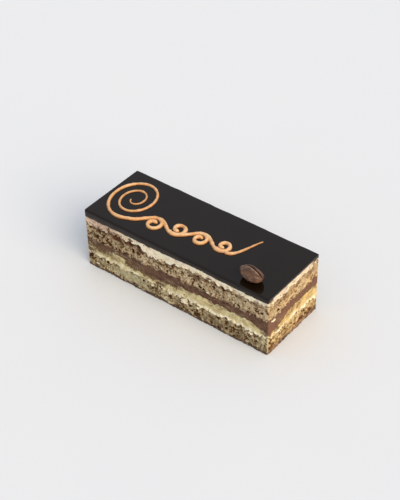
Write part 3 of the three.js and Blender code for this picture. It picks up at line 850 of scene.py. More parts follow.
# The cut ends are painted lighter and redder, as painted warm light.
colour = blend(tree, times(tree, painted(tree, "end_face"), 0.6), colour, GANACHE_WARM_LIT_END)
crumbed = times(tree, painted(tree, "crumbed"),
                fade(tree, grain(tree, place, 1.1, 4.0, 0.7), 0.42, 0.58))
colour = blend(tree, times(tree, crumbed, 0.85), colour, CRUMB_IN_GANACHE)
# Pits among the crumbs are painted dark, as painted shade.
pit_shade = times(tree, fade(tree, painted(tree, "crumbed"), 0.1, 0.6),
               fade(tree, grain(tree, place, 0.8, 3.0, 0.7), 0.42, 0.32))
colour = blend(tree, pit_shade, colour, PIT_SHADE_IN_CRUMBS)
# Pores are painted dark, as painted shade.
colour = blend(tree, times(tree, painted(tree, "pore"), 0.7), colour, GANACHE_PORE_SHADE)
surface(tree, shader, colour, crumbed, span=0.3, smoothest=0.5)
shader.inputs["Specular IOR Level"].default_value = 0.18
bump(tree, shader, grain(tree, place, 0.8, 5.0, 0.65), depth=0.22, strength=0.9)
GANACHE_RELIEF = relief(pore=(1.5, 0.22, 0.5), crag=(1.3, 0.8), tear=(4, 0.5), drag=(4, 0.7, 0.4))
run_tree(ganache.piece, CUT_FACE, {**GANACHE_RELIEF, "Seed": 3.2, "Material": material})
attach(ganache.piece, "root")
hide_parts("ganache")

# ---------- Upper sponge ----------
# The second sheet of the same sponge. Its baked top skin is browner, and at the front left it broke
# into dark, reddish crags under the buttercream.
upper_sponge_top = make_seam(
    edges=(24.3, 27.1, 28.0, 25.4), ripple=0.3, phase=5.5, torn=(1.7, 0.9), torn_size=3.0,
    swells=((-10, -HALF_WIDTH, 9, -2.3), (22, HALF_WIDTH, 11, -1.8), (-36.2, -HALF_WIDTH, 0.9, 2.0),
            (-30.5, -HALF_WIDTH, 2.6, 1.2), (-23.6, -HALF_WIDTH, 1.2, 2.2),
            (-18.2, -HALF_WIDTH, 1.9, 1.7), (13.4, -HALF_WIDTH, 1.3, 1.0)),
)
sponge = Slab("upper_sponge_crumb", ganache_top, upper_sponge_top, rows=40)
holes = {
    "front": (
        (11.1, 21.9, 0.6, 0.8, 0.9), (13.2, 24.6, 0.8, 0.4, 0.7), (34.7, 19.8, 0.8, 0.65, 1.0),
        (43.5, 22.9, 0.6, 0.5, 0.9), (21.5, 22.9, 0.7, 0.9, 0.8), (-22.4, 21.1, 0.7, 1.0, 0.9),
        (-23.2, 24.8, 1.1, 1.0, 0.9), (-17.4, 24.2, 1.0, 0.5, 0.9), (-42.0, 22.9, 0.9, 0.5, 0.8),
        (-38.6, 22.9, 1.1, 0.6, 0.8), (-32.4, 17.2, 0.5, 0.6, 0.9), (-25.8, 17.3, 0.9, 0.5, 0.8),
        (-13.2, 16.5, 1.1, 0.5, 0.9), (-7.2, 16.7, 0.8, 0.5, 0.8), (-8.4, 18.9, 0.5, 0.8, 0.7),
        (16.3, 16.9, 1.2, 0.6, 0.9), (39.6, 18.5, 0.5, 0.6, 0.8), (43.6, 18.8, 0.6, 0.5, 0.8),
        (8.6, 22.4, 0.9, 0.5, 0.6), (4.9, 22.2, 0.9, 0.6, 0.6), (-2.8, 23.4, 0.6, 0.6, 0.8),
        (-47.0, 22.6, 1.2, 0.5, 0.6),
    ),
    **scattered_spots(seed=15, count=40, heights=(18.0, 25.5), radius=(0.4, 0.8), deepest=0.9),
}
sponge.paint("bite", sponge.patches(holes, wander=0.9, wander_size=0.7) * HOLE_DEPTH * MM)
browned = {
    "front": (
        (-36.0, 25.2, 9.0, 1.9, 0.9), (-22.0, 25.6, 10.0, 2.2, 1.0), (-23.6, 26.2, 1.8, 1.6, 1.0),
        (-18.2, 26.0, 2.4, 1.4, 1.0), (-31.6, 23.0, 3.2, 1.3, 1.0), (-24.5, 23.9, 3.2, 1.4, 1.0),
        (-18.0, 23.4, 3.0, 1.9, 1.0), (-12.5, 22.8, 3.0, 1.2, 0.8), (-42.0, 23.0, 6.0, 0.7, 0.8),
        (1.5, 24.4, 4.0, 1.0, 0.8), (12.0, 24.0, 3.2, 1.6, 0.75), (18.0, 24.8, 2.4, 0.9, 0.9),
        (25.0, 25.2, 6.0, 1.2, 0.7), (34.5, 24.8, 2.0, 1.2, 0.6), (44.0, 25.4, 5.0, 1.2, 0.6),
        (16.0, 18.2, 4.0, 0.9, 0.8), (40.0, 19.2, 6.0, 0.8, 0.7), (-8.0, 17.6, 6.0, 0.8, 0.6),
        (28.0, 18.8, 4.0, 0.7, 0.6),
    ),
    "right": ((-8.0, 25.0, 5.0, 1.8, 0.55), (2.0, 25.6, 3.6, 1.5, 0.6), (12.0, 25.4, 3.6, 1.8, 0.6)),
    "back": ((30.0, 25.2, 9.0, 1.4, 0.8), (-14.0, 25.0, 12.0, 1.2, 0.7)),
    "left": ((-6.0, 23.8, 6.0, 1.2, 0.8), (8.0, 24.2, 4.0, 1.0, 0.7)),
}
sponge.paint("toast", sponge.patches(browned, wander=0.5, wander_size=1.6))
shaded = {
    "front": (
        (-36.0, 21.0, 18.0, 7.0, 0.8), (-12.0, 22.0, 12.0, 3.0, 0.45), (20.0, 24.5, 12.0, 2.0, 0.2),
    ),
    "back": ((-20.0, 22.0, 20.0, 5.0, 0.5),),
    "left": ((0.0, 21.5, 12.0, 5.0, 0.4),),
}
sponge.paint("shade", sponge.patches(shaded, wander=0.3, wander_size=4.0))
evened = {
    "front": ((33.0, 22.2, 7.0, 1.4, 0.4), (-8.0, 20.2, 6.0, 1.0, 0.4)),
    "back": ((20.0, 22.0, 12.0, 1.8, 0.5),),
}
sponge.paint("smooth", sponge.patches(evened, wander=0.5, wander_size=2.5))
upper_crumb = sponge_material(
    "soaked_sponge_upper", seed=4.1, pale=(0.66, 0.52, 0.33), middling=(0.37, 0.26, 0.145),
    evened_out=(0.50, 0.42, 0.26), toasted_brown=(0.098, 0.034, 0.016),
    dragged_cream=(0.82, 0.70, 0.52),
)
run_tree(sponge.piece, CUT_FACE, {**SPONGE_RELIEF, "Seed": 4.6, "Material": upper_crumb})
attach(sponge.piece, "root")
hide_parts("sponge_upper")

# ---------- Upper buttercream ----------
# The second coat of buttercream levels the slice for the glaze. It is pink with coffee and torn at the
# front left, and clean, thin and nearly white at the right.
glaze_under = make_seam(
    edges=(27.6, 28.7, 28.8, 28.0), ripple=0.12, phase=0.9, torn=(0.15, 0.1), torn_size=2.5,
    swells=((12, -HALF_WIDTH, 12, 0.6),), plateau=(29.8, 1.6),
)
cream = Slab("upper_buttercream_spread", upper_sponge_top, glaze_under, rows=18)
cream.paint("bite", torn_lip(cream, reach=0.3, proud=0.35) * MM)
cream.paint("blush", np.clip((-22 - cream.x) / 12, 0, 1) * np.clip(-cream.out_y, 0, 1)
            + 0.35 * np.clip(np.abs(cream.out_x), 0, 1))
cream.paint("lit_edge", 0.4 + 0 * cream.x)
# Under the long edges' lip, a thin uneven line of painted shade darkens the top of the cream.
under_lip_line = 0.88 + 0.05 * unevenness(cream.x, cream.y, 7.1, 2.4, 2)
cream.paint("lip_shade", np.clip((cream.rise - under_lip_line) / 0.07, 0, 1) * np.abs(cream.out_y))
soiled = {
    "front": (
        (-36.2, 26.0, 0.9, 1.2, 0.7), (-41.5, 25.0, 2.4, 0.7, 0.45), (-31.0, 25.6, 3.2, 0.8, 0.5),
        (-23.6, 26.4, 1.4, 0.7, 0.6), (-46.5, 24.8, 2.0, 0.5, 0.4), (13.4, 26.0, 1.4, 0.8, 0.7),
        (20.0, 26.6, 1.8, 0.5, 0.6), (34.0, 27.0, 2.4, 0.4, 0.35),
    ),
    "right": ((15.0, 29.2, 1.9, 0.6, 0.9), (-16.6, 29.0, 1.4, 0.7, 0.7)),
    "back": ((-30.0, 26.4, 5.0, 0.8, 0.6),),
    "left": ((0.0, 26.0, 5.0, 0.9, 0.6),),
}
cream.paint("soil", cream.patches(soiled, wander=0.6, wander_size=1.2, steepness=1))
stained = {
    "front": ((-43.0, 26.6, 6.0, 1.4, 0.35), (31.0, 27.0, 5.0, 0.7, 0.3), (43.0, 27.6, 4.0, 0.8, 0.35)),
    "right": ((-2.0, 28.2, 6.0, 0.6, 0.3),),
    "back": ((10.0, 27.0, 12.0, 0.8, 0.3),),
}
cream.paint("stain", cream.patches(stained, wander=0.4, wander_size=2.0))
pale_cream = cream_material(
    "coffee_buttercream_upper", seed=5.0, deep=(0.70, 0.585, 0.40), light=(0.90, 0.80, 0.60),
    soil_colour=(0.135, 0.058, 0.032), end_warm_light=0.15,
)
run_tree(cream.piece, CUT_FACE, {**CREAM_RELIEF, "Seed": 5.7, "Material": pale_cream})
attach(cream.piece, "root")
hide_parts("buttercream_upper")

# ---------- Mirror glaze ----------
# A warm dark glaze, poured over the chilled slice. It levels itself to a mirror, rounds over the long
# edges into a lip, and is cut clean at the ends.
HEIGHT = 31.1
LONG_EDGE_RADIUS = 0.85
END_EDGE_RADIUS = 0.25
LIP_BULGE = 0.12
LIP_TUCK = 0.15
# The lip, from its foot up: how far each ring is set in, and its height over the lip's foot.
LIP_PROFILE = ((LIP_TUCK, -0.08), (-0.8 * LIP_BULGE, 0.0), (-LIP_BULGE, 0.16))
ROUND_OVER_STEPS = 7
TOP_INSETS = (0.4, 1.2, 3.0)
# The long edges waver in and out by EDGE_WAVER, because the glaze runs over them by itself.
EDGE_WAVER, EDGE_WAVER_SIZE = 0.22, 9.0

lip = glaze_under(COLUMN_X, COLUMN_Y)
waver = EDGE_WAVER * unevenness(COLUMN_X, COLUMN_Y, 2.2, EDGE_WAVER_SIZE, 2)
edge_radius = END_EDGE_RADIUS + (LONG_EDGE_RADIUS - END_EDGE_RADIUS) * OUT_Y**2
rings = []
for inset in reversed(CAP_INSETS):
    x, y = cut_outline(inset, inset)[:2]
    rings.append((x, y, glaze_under(x, y)))
for tuck, above in LIP_PROFILE:
    x, y = cut_outline(max(tuck, 0), tuck)[:2]
    rings.append((x, y + waver * OUT_Y, lip + above))
for step in range(ROUND_OVER_STEPS + 1):
    turn = step / ROUND_OVER_STEPS
    angle = math.pi / 2 * turn
    inward = 1 - math.cos(angle)
    inset_y = LONG_EDGE_RADIUS * inward - LIP_BULGE * (1 - turn)
    x, y = cut_outline(END_EDGE_RADIUS * inward, inset_y)[:2]
    rings.append((x, y + waver * OUT_Y, HEIGHT - edge_radius * (1 - math.sin(angle))))
for inset in TOP_INSETS:
    x, y = cut_outline(END_EDGE_RADIUS + inset, LONG_EDGE_RADIUS + inset)[:2]
    rings.append((x, y, HEIGHT + 0 * x))
glaze = mesh_piece("glaze_mirror_coat", *(np.concatenate(axis) for axis in zip(*rings)),
                   band_faces(range(len(rings))))

GLAZE_DARK, GLAZE_LIGHT = (0.0080, 0.0038, 0.0016), (0.0115, 0.0064, 0.0040)
GLAZE_IOR = 1.355

material, tree, shader, place = new_material("mirror_glaze_black")
flow = grain(tree, place, 14.0, 1.0)
colour = blend(tree, flow, GLAZE_DARK, GLAZE_LIGHT)
surface(tree, shader, colour, grain(tree, place, 9.0, 2.0), span=0.06, smoothest=0.03)
shader.inputs["IOR"].default_value = GLAZE_IOR
bump(tree, shader, flow, depth=0.25, strength=0.5)
glaze.data.materials.append(material)
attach(glaze, "root")
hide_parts("mirror_glaze")

# ---------- Piped scroll ----------
# Caramel-coloured icing, piped on the set glaze through a fine round nozzle: a tall volute, a waved
# stem with a curl in each bend, and a tail that thins as the hand lifts off.
BEAD_ASPECT = 0.60
SEAT_DEPTH = 0.3
MELT_FINENESS = 0.14
VOLUTE_STEPS, STEM_STEPS, TAIL_STEPS, CURL_STEPS = 700, 360, 160, 200
BEAD_WIDTHS = {"volute": (0.7, 1.65), "stem": (1.65, 1.85), "curl": (1.8, 1.9), "tail": (1.85, 0.6)}
VOLUTE_CENTRE = np.array([-36.4, 0.9])
VOLUTE_REACH = np.array([12.2, 14.6])
VOLUTE_SHARE = (0.16, 1.0)
VOLUTE_TURN = (-2.42, -0.165)
STEM_WAVE_LENGTH, STEM_WAVES, STEM_AMPLITUDE, STEM_RISE = 22.6, 2.1, 3.2, 6.4
CURL_COUNT, CURL_REACH, CURL_INNER_SHARE = 4, (4.4, 3.6), 0.27
CURL_LEAD, CURL_TURNS = 0.12, 1.25
TAIL_PULLS = ((5.4, -1.6), (-3.0, -6.4))
TAIL_END = np.array([26.6, 10.6])


def spiral(centre, reach, share, turn):
    angle = 2 * np.pi * turn
    return np.stack([centre[0] + reach[0] * share * np.cos(angle),
                     centre[1] + reach[1] * share * np.sin(angle)], -1)


def volute(t):
    share = VOLUTE_SHARE[0] + (VOLUTE_SHARE[1] - VOLUTE_SHARE[0]) * t
    turn = VOLUTE_TURN[0] + (VOLUTE_TURN[1] - VOLUTE_TURN[0]) * t
    return spiral(VOLUTE_CENTRE, VOLUTE_REACH, share, turn)


def stem(t):
    start = volute(np.array(1.0))
    turn = STEM_WAVES * t
    wave = STEM_AMPLITUDE * (1 - np.cos(2 * np.pi * turn))
    return np.stack([start[0] + STEM_WAVE_LENGTH * turn, start[1] + STEM_RISE * t + wave], -1)


def curl(index):
    """A curl follows the stem round a bend's crest or trough, and then winds inwards."""
    side = 1 if index % 2 == 0 else -1
    on_stem = stem(np.array((index + 1) / 2 / STEM_WAVES))
    size = CURL_REACH[0] + (CURL_REACH[1] - CURL_REACH[0]) * index / (CURL_COUNT - 1)
    centre = on_stem - np.array([0, side * size])
    return lambda t: spiral(centre, (size, size), 1 + (CURL_INNER_SHARE - 1) * t,
                            side * (0.25 + CURL_LEAD - CURL_TURNS * t))


def tail(t):
    start = stem(np.array(1.0))
    pulls = [start, start + TAIL_PULLS[0], TAIL_END + TAIL_PULLS[1], TAIL_END]
    weights = [(1 - t) ** 3, 3 * t * (1 - t) ** 2, 3 * t * t * (1 - t), t**3]
    return sum(np.multiply.outer(weight, pull) for weight, pull in zip(weights, pulls))


def stroke(curve, *pulls):
    """Adds one unbroken stroke to a curve. Its radius closes round at both ends.

    pulls: what the stroke is made of, one after another: path, first and last width, and steps."""
    points, widths = [], []
    for path, (first_width, last_width), steps in pulls:
        t = np.linspace(0, 1, steps + 1)[1 if points else 0:]
        points.append(path(t))
        widths.append(first_width + (last_width - first_width) * t)
    points, radius = np.concatenate(points), np.concatenate(widths) / 2
    run = np.concatenate([[0], np.cumsum(np.linalg.norm(np.diff(points, axis=0), axis=1))])
    for from_end in (run, run[-1] - run):
        inside = np.clip(from_end / radius, 0, 1)
        radius = radius * np.sqrt(np.clip(1 - (1 - inside) ** 2, 0.02, 1))
    spline = curve.splines.new("POLY")
    spline.points.add(len(points) - 1)
    spline_points = np.stack([*points.T * MM, 0 * radius + HEIGHT * MM, 1 + 0 * radius], 1)
    spline.points.foreach_set("co", spline_points.ravel())
    spline.points.foreach_set("radius", radius)


def piped_bead_tree():
    """Sweeps a round bead along each stroke, with the small swells of a hand-squeezed bag, and
    flattens it where it sits on the glaze."""
    inputs = {"Geometry": ("Geometry", None), "Bead Aspect": ("Float", BEAD_ASPECT),
              "Bead Sides": ("Int", 18), "Swell Length": ("Float", 3 * MM),
              "Swell Share": ("Float", 0.3), "Seat Height": ("Float", HEIGHT * MM),
              "Seed": ("Float", 0.0), "Material": ("Material", None)}
    outputs = {"Geometry": ("Geometry", None)}
    tree, given, result = new_group("piped_bead", "GeometryNodeTree", inputs, outputs)
    value = given.outputs
    position = new_node(tree, "GeometryNodeInputPosition").outputs[0]
    seed = new_node(tree, "ShaderNodeCombineXYZ", {2: value["Seed"]}).outputs[0]
    swell = new_node(tree, "ShaderNodeTexNoise",
                     {"Vector": vector_maths(tree, "ADD", position, seed), "Detail": 1.0,
                      "Scale": maths(tree, "DIVIDE", 1.0, value["Swell Length"])}).outputs[0]
    swell = times(tree, maths(tree, "SUBTRACT", swell, 0.5), value["Swell Share"])
    swell = maths(tree, "ADD", times(tree, swell, 2.0), 1.0)
    radius = new_node(tree, "GeometryNodeInputRadius").outputs[0]
    radius = times(tree, radius, swell)
    upright = new_node(tree, "GeometryNodeSetCurveNormal", {0: value["Geometry"]}, mode="Z_UP")
    ring = new_node(tree, "GeometryNodeCurvePrimitiveCircle",
                    {"Resolution": value["Bead Sides"], "Radius": MM})
    swept = new_node(tree, "GeometryNodeCurveToMesh",
                     {"Curve": upright.outputs[0], "Profile Curve": ring.outputs[0],
                      "Scale": radius, "Fill Caps": True})
    # Heights above the seat are stretched to the bead's aspect, and what is below is cut flat.
    axes = new_node(tree, "ShaderNodeSeparateXYZ", {0: position}).outputs
    above = maths(tree, "SUBTRACT", axes[2], value["Seat Height"])
    stretch = times(tree, value["Bead Aspect"], 2.0)
    above = maths(tree, "MAXIMUM", times(tree, above, stretch), -SEAT_DEPTH * MM)
    level = maths(tree, "ADD", above, value["Seat Height"])
    seat = new_node(tree, "ShaderNodeCombineXYZ", {0: axes[0], 1: axes[1], 2: level})
    seated = new_node(tree, "GeometryNodeSetPosition",
                      {"Geometry": swept.outputs[0], "Position": seat.outputs[0]})
    end_tree(tree, seated, value["Material"], result)
    return tree


# The bead's sides are painted darker and its crest paler, by height over the glaze, as painted shade and
# painted highlight.
ICING_SHADED_SIDES = ((0.54, 0.235, 0.075), (0.66, 0.315, 0.110))
ICING_LIT_CREST = ((0.80, 0.46, 0.21), (0.88, 0.58, 0.31))
ICING_UNMIXED = (0.74, 0.345, 0.110)
HIGHLIGHT_HEIGHTS = ((HEIGHT + 0.15) * MM, (HEIGHT + 1.05) * MM)

material, tree, shader, place = new_material("caramel_icing")
streak = grain(tree, place, 1.6, 3.0, 0.6)
above_glaze = new_node(tree, "ShaderNodeSeparateXYZ", {0: place}).outputs[2]
ridge = fade(tree, above_glaze, *HIGHLIGHT_HEIGHTS)
shaded_sides = blend(tree, fade(tree, streak, 0.35, 0.65), *ICING_SHADED_SIDES)
lit_crest = blend(tree, fade(tree, streak, 0.30, 0.70), *ICING_LIT_CREST)
colour = blend(tree, ridge, shaded_sides, lit_crest)
unmixed = fade(tree, grain(tree, place, 5.0, 2.0), 0.50, 0.64)
colour = blend(tree, times(tree, unmixed, 0.6), colour, ICING_UNMIXED)
surface(tree, shader, colour, grain(tree, place, 0.7, 2.0), span=0.12, smoothest=0.16)
shader.inputs["Subsurface Weight"].default_value = 0.15
shader.inputs["Subsurface Radius"].default_value = (0.6 * MM, 0.3 * MM, 0.15 * MM)
shader.inputs["Subsurface Scale"].default_value = 1.0
bump(tree, shader, grain(tree, place, 0.45, 2.0), depth=0.04, strength=0.6)

strokes = bpy.data.curves.new("piped_scroll", "CURVE")
strokes.dimensions = "3D"
stroke(strokes, (volute, BEAD_WIDTHS["volute"], VOLUTE_STEPS), (stem, BEAD_WIDTHS["stem"], STEM_STEPS),
       (tail, BEAD_WIDTHS["tail"], TAIL_STEPS))
for index in range(CURL_COUNT):
    stroke(strokes, (curl(index), BEAD_WIDTHS["curl"], CURL_STEPS))
scroll = add_object("piped_scroll", strokes)
scroll = run_tree(scroll, piped_bead_tree(), {"Seed": 0.02, "Material": material})
# The strokes melt into one body where they touch.
melt = scroll.modifiers.new("melt", "REMESH")
melt.mode = "VOXEL"
melt.voxel_size = MELT_FINENESS * MM
melt.use_smooth_shade = True
settle = scroll.modifiers.new("settle", "SMOOTH")
settle.factor = 0.6
settle.iterations = 3
scroll = keep_mesh(scroll)
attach(scroll, "root")
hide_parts("mirror_glaze")

# ---------- Coffee bean ----------
# One roasted bean, pressed onto the glaze on its domed back. A winding slit splits its flatter side,
# with dry papery skin caught in it, and fine wrinkles run lengthwise.
BEAN_LENGTH, BEAN_WIDTH, DOME_DEPTH, SLIT_SIDE_DEPTH = 11.5, 8.9, 3.6, 2.0
BEAN_PLACE = (37.0, -12.0)
BEAN_TURN, BEAN_LEAN = math.radians(-11), math.radians(24)
SLIT_DEPTH, SLIT_HALF_WIDTH, SLIT_SWAY, LIP_RISE = 1.8, 0.44, -0.25, 0.38
SLIT_SLANT = 0.1
SLIT_NARROWING = 0.35
NEAR_LIP_SHARE = 0.4
LIP_OFF_SLIT, LIP_WIDTH = 2.6, 0.9
WRINKLE_RISE, WRINKLE_LENGTH, WRINKLE_SIZE = 0.11, 3.6, 0.8
BEAN_BLUNTNESS = 0.92
CHAFF_OFF_SLIT, CHAFF_WIDTH = 0.90, 0.46
BEAN_STEPS_ALONG, BEAN_STEPS_ROUND = 130, 220
BEAN_SINK = 0.05

theta = np.linspace(0, np.pi, BEAN_STEPS_ALONG + 1)[1:-1, None]
phi = np.linspace(0, 2 * np.pi, BEAN_STEPS_ROUND, endpoint=False)[None, :]
along = -np.cos(theta) + 0 * phi
round_about = np.sin(theta) ** BEAN_BLUNTNESS
x = along * BEAN_LENGTH / 2
y = round_about * np.cos(phi) * BEAN_WIDTH / 2
depth = np.where(np.sin(phi) > 0, SLIT_SIDE_DEPTH, DOME_DEPTH)
z = round_about * np.sin(phi) * depth
slit_line = SLIT_SWAY * np.sin(np.pi * along) + SLIT_SLANT * along
slit_half_width = SLIT_HALF_WIDTH * (1 - SLIT_NARROWING * along)
off_slit = np.abs(y - slit_line)
upper = np.clip(np.sin(phi) * 3, 0, 1) * round_about
taper = np.clip(1.15 - np.abs(along) ** 6, 0, 1)
slit = np.exp(-((off_slit / slit_half_width) ** 3)) * upper
lips = np.exp(-(((off_slit - LIP_OFF_SLIT * slit_half_width) / LIP_WIDTH) ** 2)) * upper
lips = lips * np.where(y < slit_line, NEAR_LIP_SHARE, 1)
wrinkle = unevenness((x / WRINKLE_LENGTH).ravel(), (y + 2 * z).ravel(), 6.1, WRINKLE_SIZE)
wrinkle = wrinkle.reshape(x.shape)
z = z - SLIT_DEPTH * slit * taper + LIP_RISE * lips + WRINKLE_RISE * wrinkle
rows, around = x.shape
x, y, z = (np.concatenate([v.ravel(), tip]) for v, tip in (
    (x, [-BEAN_LENGTH / 2, BEAN_LENGTH / 2]), (y, [0, 0]), (z, [0, 0])))
here = np.arange(around)
following = (here + 1) % around
faces = []
for a in range(0, (rows - 1) * around, around):
    b = a + around
    faces += np.stack([a + here, b + here, b + following, a + following], 1).tolist()
last = (rows - 1) * around
faces += [[rows * around, a, b] for a, b in zip(here.tolist(), following.tolist())]
faces += [[rows * around + 1, last + b, last + a] for a, b in zip(here.tolist(), following.tolist())]
bean = mesh_piece("roasted_coffee_bean", x, y, z, faces)
paint_points(bean, "slit", np.append(slit, [0, 0]))
from_chaff = (y[:-2] - slit_line.ravel() + CHAFF_OFF_SLIT) / CHAFF_WIDTH
paint_points(bean, "lip", np.append(np.exp(-(from_chaff**2)) * upper.ravel(), [0, 0]))
bean.data.transform(Matrix.Rotation(BEAN_TURN, 4, "Z") @ Matrix.Rotation(-BEAN_LEAN, 4, "X"))
lowest = min(v.co.z for v in bean.data.vertices)
seat = Vector((*BEAN_PLACE, HEIGHT - BEAN_SINK)) * MM - Vector((0, 0, lowest))
bean.data.transform(Matrix.Translation(seat))

SKIN_DARK, SKIN_LIGHT = (0.064, 0.026, 0.011), (0.200, 0.100, 0.054)
CHAFF, SLIT_SHADE = (0.56, 0.33, 0.19), (0.010, 0.004, 0.002)

material, tree, shader, place = new_material("roasted_bean_skin")
mottle = grain(tree, place, 2.2, 4.0, 0.65)
colour = blend(tree, fade(tree, mottle, 0.35, 0.65), SKIN_DARK, SKIN_LIGHT)
papery = fade(tree, painted(tree, "lip"), 0.35, 0.85)
broken = fade(tree, grain(tree, place, 0.9, 3.0, 0.65), 0.40, 0.54)
colour = blend(tree, times(tree, papery, broken), colour, CHAFF)
# The slit is painted nearly black, as painted shade.
colour = blend(tree, fade(tree, painted(tree, "slit"), 0.04, 0.30), colour, SLIT_SHADE)
surface(tree, shader, colour, grain(tree, place, 0.8, 3.0), span=0.25, smoothest=0.27)
shader.inputs["Specular IOR Level"].default_value = 0.42
bump(tree, shader, grain(tree, place, 0.6, 5.0, 0.65), depth=0.12, strength=0.9)
bean.data.materials.append(material)
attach(bean, "root")
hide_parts("coffee_bean")

# ---------- Loose crumbs ----------
# The knife leaves crumbs of browned sponge and flecks of dark chocolate stuck to the soft cut faces,
# and dabs of buttercream that it carried along.
ANY_TURN = (6.28, 6.28, 6.28)
SIDE_LEAN = 0.3


def crumb_tree():
    """Scatters small irregular crumbs over the cut faces of the pieces that it runs on."""
    inputs = {"Geometry": ("Geometry", None), "Density": ("Float", 0.1), "Smallest": ("Float", 0.2 * MM),
              "Largest": ("Float", 0.5 * MM), "Seed": ("Int", 0), "Material": ("Material", None)}
    outputs = {"Geometry": ("Geometry", None)}
    tree, given, result = new_group("stuck_crumbs", "GeometryNodeTree", inputs, outputs)
    value = given.outputs
    outward = held_value(tree, "outward", "FLOAT_VECTOR")
    length = new_node(tree, "ShaderNodeVectorMath", {0: outward}, operation="LENGTH").outputs["Value"]
    on_side = maths(tree, "GREATER_THAN", length, SIDE_LEAN)
    spread = new_node(tree, "GeometryNodeDistributePointsOnFaces",
                      {"Mesh": value["Geometry"], "Selection": on_side, "Density": value["Density"],
                       "Seed": value["Seed"]})
    block = new_node(tree, "GeometryNodeMeshCube",
                     {"Size": (1.0, 1.0, 1.0), "Vertices X": 3, "Vertices Y": 3, "Vertices Z": 3})
    position = new_node(tree, "GeometryNodeInputPosition").outputs[0]
    knob = new_node(tree, "ShaderNodeTexNoise", {"Vector": position, "Scale": 1.7, "Detail": 1.0})
    ball = vector_maths(tree, "NORMALIZE", position, (0.0, 0.0, 0.0))
    size = maths(tree, "MULTIPLY_ADD", knob.outputs[0], 1.1, 0.1)
    knobbly = vector_maths(tree, "SCALE", ball, size)
    shape = new_node(tree, "GeometryNodeSetPosition",
                     {"Geometry": block.outputs["Mesh"], "Position": knobbly})
    turn = new_node(tree, "FunctionNodeRandomValue", {1: ANY_TURN, "Seed": value["Seed"]},
                    data_type="FLOAT_VECTOR").outputs[0]
    scale = new_node(tree, "FunctionNodeRandomValue",
                     {2: value["Smallest"], 3: value["Largest"], "Seed": value["Seed"]},
                     data_type="FLOAT").outputs[1]
    crumbs = new_node(tree, "GeometryNodeInstanceOnPoints",
                      {"Points": spread.outputs[0], "Instance": shape.outputs[0], "Rotation": turn,
                       "Scale": scale})
    tone = new_node(tree, "FunctionNodeRandomValue", {2: 0.0, 3: 1.0, "Seed": 7}, data_type="FLOAT")
    toned = new_node(tree, "GeometryNodeStoreNamedAttribute",
                     {"Geometry": crumbs.outputs[0], "Name": "tone", "Value": tone.outputs[1]},
                     data_type="FLOAT", domain="INSTANCE")
    end_tree(tree, toned, value["Material"], result)
    return tree


STUCK_CRUMBS = crumb_tree()


def stuck_crumbs(name, carriers, density, sizes, seed, dark, light):
    """One piece with all crumbs of a kind, stuck to the cut faces of the carriers: density of them
    to a square millimetre, and sizes from the smallest to the largest."""
    material, tree, shader, place = new_material(name)
    colour = blend(tree, painted(tree, "tone"), dark, light)
    colour = blend(tree, times(tree, grain(tree, place, 0.3, 2.0), 0.5), colour, dark)
    surface(tree, shader, colour, grain(tree, place, 0.4), span=0.3, smoothest=0.6)
    bump(tree, shader, grain(tree, place, 0.15, 2.0), depth=0.05, strength=0.8)
    copies = []
    for carrier in carriers:
        copy = carrier.copy()
        copy.data = carrier.data.copy()
        copy.parent = None
        bpy.context.scene.collection.objects.link(copy)
        copies.append(copy)
    with bpy.context.temp_override(active_object=copies[0], selected_editable_objects=copies):
        bpy.ops.object.join()
    crumbs = copies[0]
    # The copy drops what its carrier had been marked with.
    for key in list(crumbs.keys()):
        del crumbs[key]
    crumbs.name = name
    crumbs = run_tree(crumbs, STUCK_CRUMBS, {
        "Density": density / MM**2, "Smallest": sizes[0] * MM, "Largest": sizes[1] * MM,
        "Seed": seed, "Material": material,
    })
    crumbs.data.shade_smooth()
    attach(crumbs, "root")
    return crumbs


pieces_by_name = {piece.name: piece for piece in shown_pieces()}
creams = [pieces_by_name[name] for name in ("lower_buttercream_spread", "upper_buttercream_spread")]
stuck_crumbs("crumbs_browned_sponge", creams + [ganache.piece], density=0.07,
             sizes=(0.12, 0.40), seed=21, dark=(0.150, 0.072, 0.032), light=(0.50, 0.37, 0.20))
sponges = [pieces_by_name[name] for name in ("lower_sponge_crumb", "upper_sponge_crumb")]
stuck_crumbs("crumbs_chocolate", creams + sponges, density=0.02,
             sizes=(0.10, 0.30), seed=33, dark=(0.060, 0.026, 0.014), light=(0.160, 0.075, 0.045))

# Dabs of buttercream were carried along by the knife and stay stuck where it left them: for each face,
# rows of place along it and height, and the half sizes along, up and outwards.
CREAM_DABS = {
    "front": (
        (6.2, 6.7, 1.9, 1.2, 0.6), (-2.4, 7.5, 1.3, 1.2, 0.55), (3.0, 8.2, 1.0, 0.7, 0.45),
        (-30.0, 7.7, 1.1, 0.7, 0.45), (41.0, 7.9, 1.2, 0.8, 0.45), (18.0, 8.8, 0.9, 0.7, 0.45),
        (13.2, 6.8, 0.8, 0.6, 0.45), (-12.0, 6.8, 0.8, 0.8, 0.45), (9.6, 8.0, 0.8, 0.9, 0.45),
        (24.4, 8.6, 0.9, 0.6, 0.4), (-44.0, 2.8, 1.0, 0.4, 0.2), (-16.0, 18.4, 0.9, 0.4, 0.25),
        (18.6, 18.6, 0.9, 0.5, 0.25), (-7.0, 23.4, 0.9, 0.6, 0.3),
    ),
    "right": ((-14.6, 17.4, 1.3, 0.7, 0.4), (3.0, 8.2, 0.9, 0.7, 0.3), (9.0, 27.6, 0.8, 0.5, 0.3)),
    "back": ((-22.0, 8.2, 1.3, 0.8, 0.35), (11.0, 7.6, 0.9, 0.6, 0.3), (27.0, 24.6, 1.1, 0.6, 0.3)),
    "left": ((-6.0, 7.4, 1.0, 0.7, 0.3), (8.0, 23.8, 0.9, 0.6, 0.3)),
}
DAB_FINENESS = 4
DAB_UNEVENNESS = 0.6
DAB_DEEP, DAB_PALE = (0.70, 0.58, 0.36), (0.90, 0.80, 0.58)
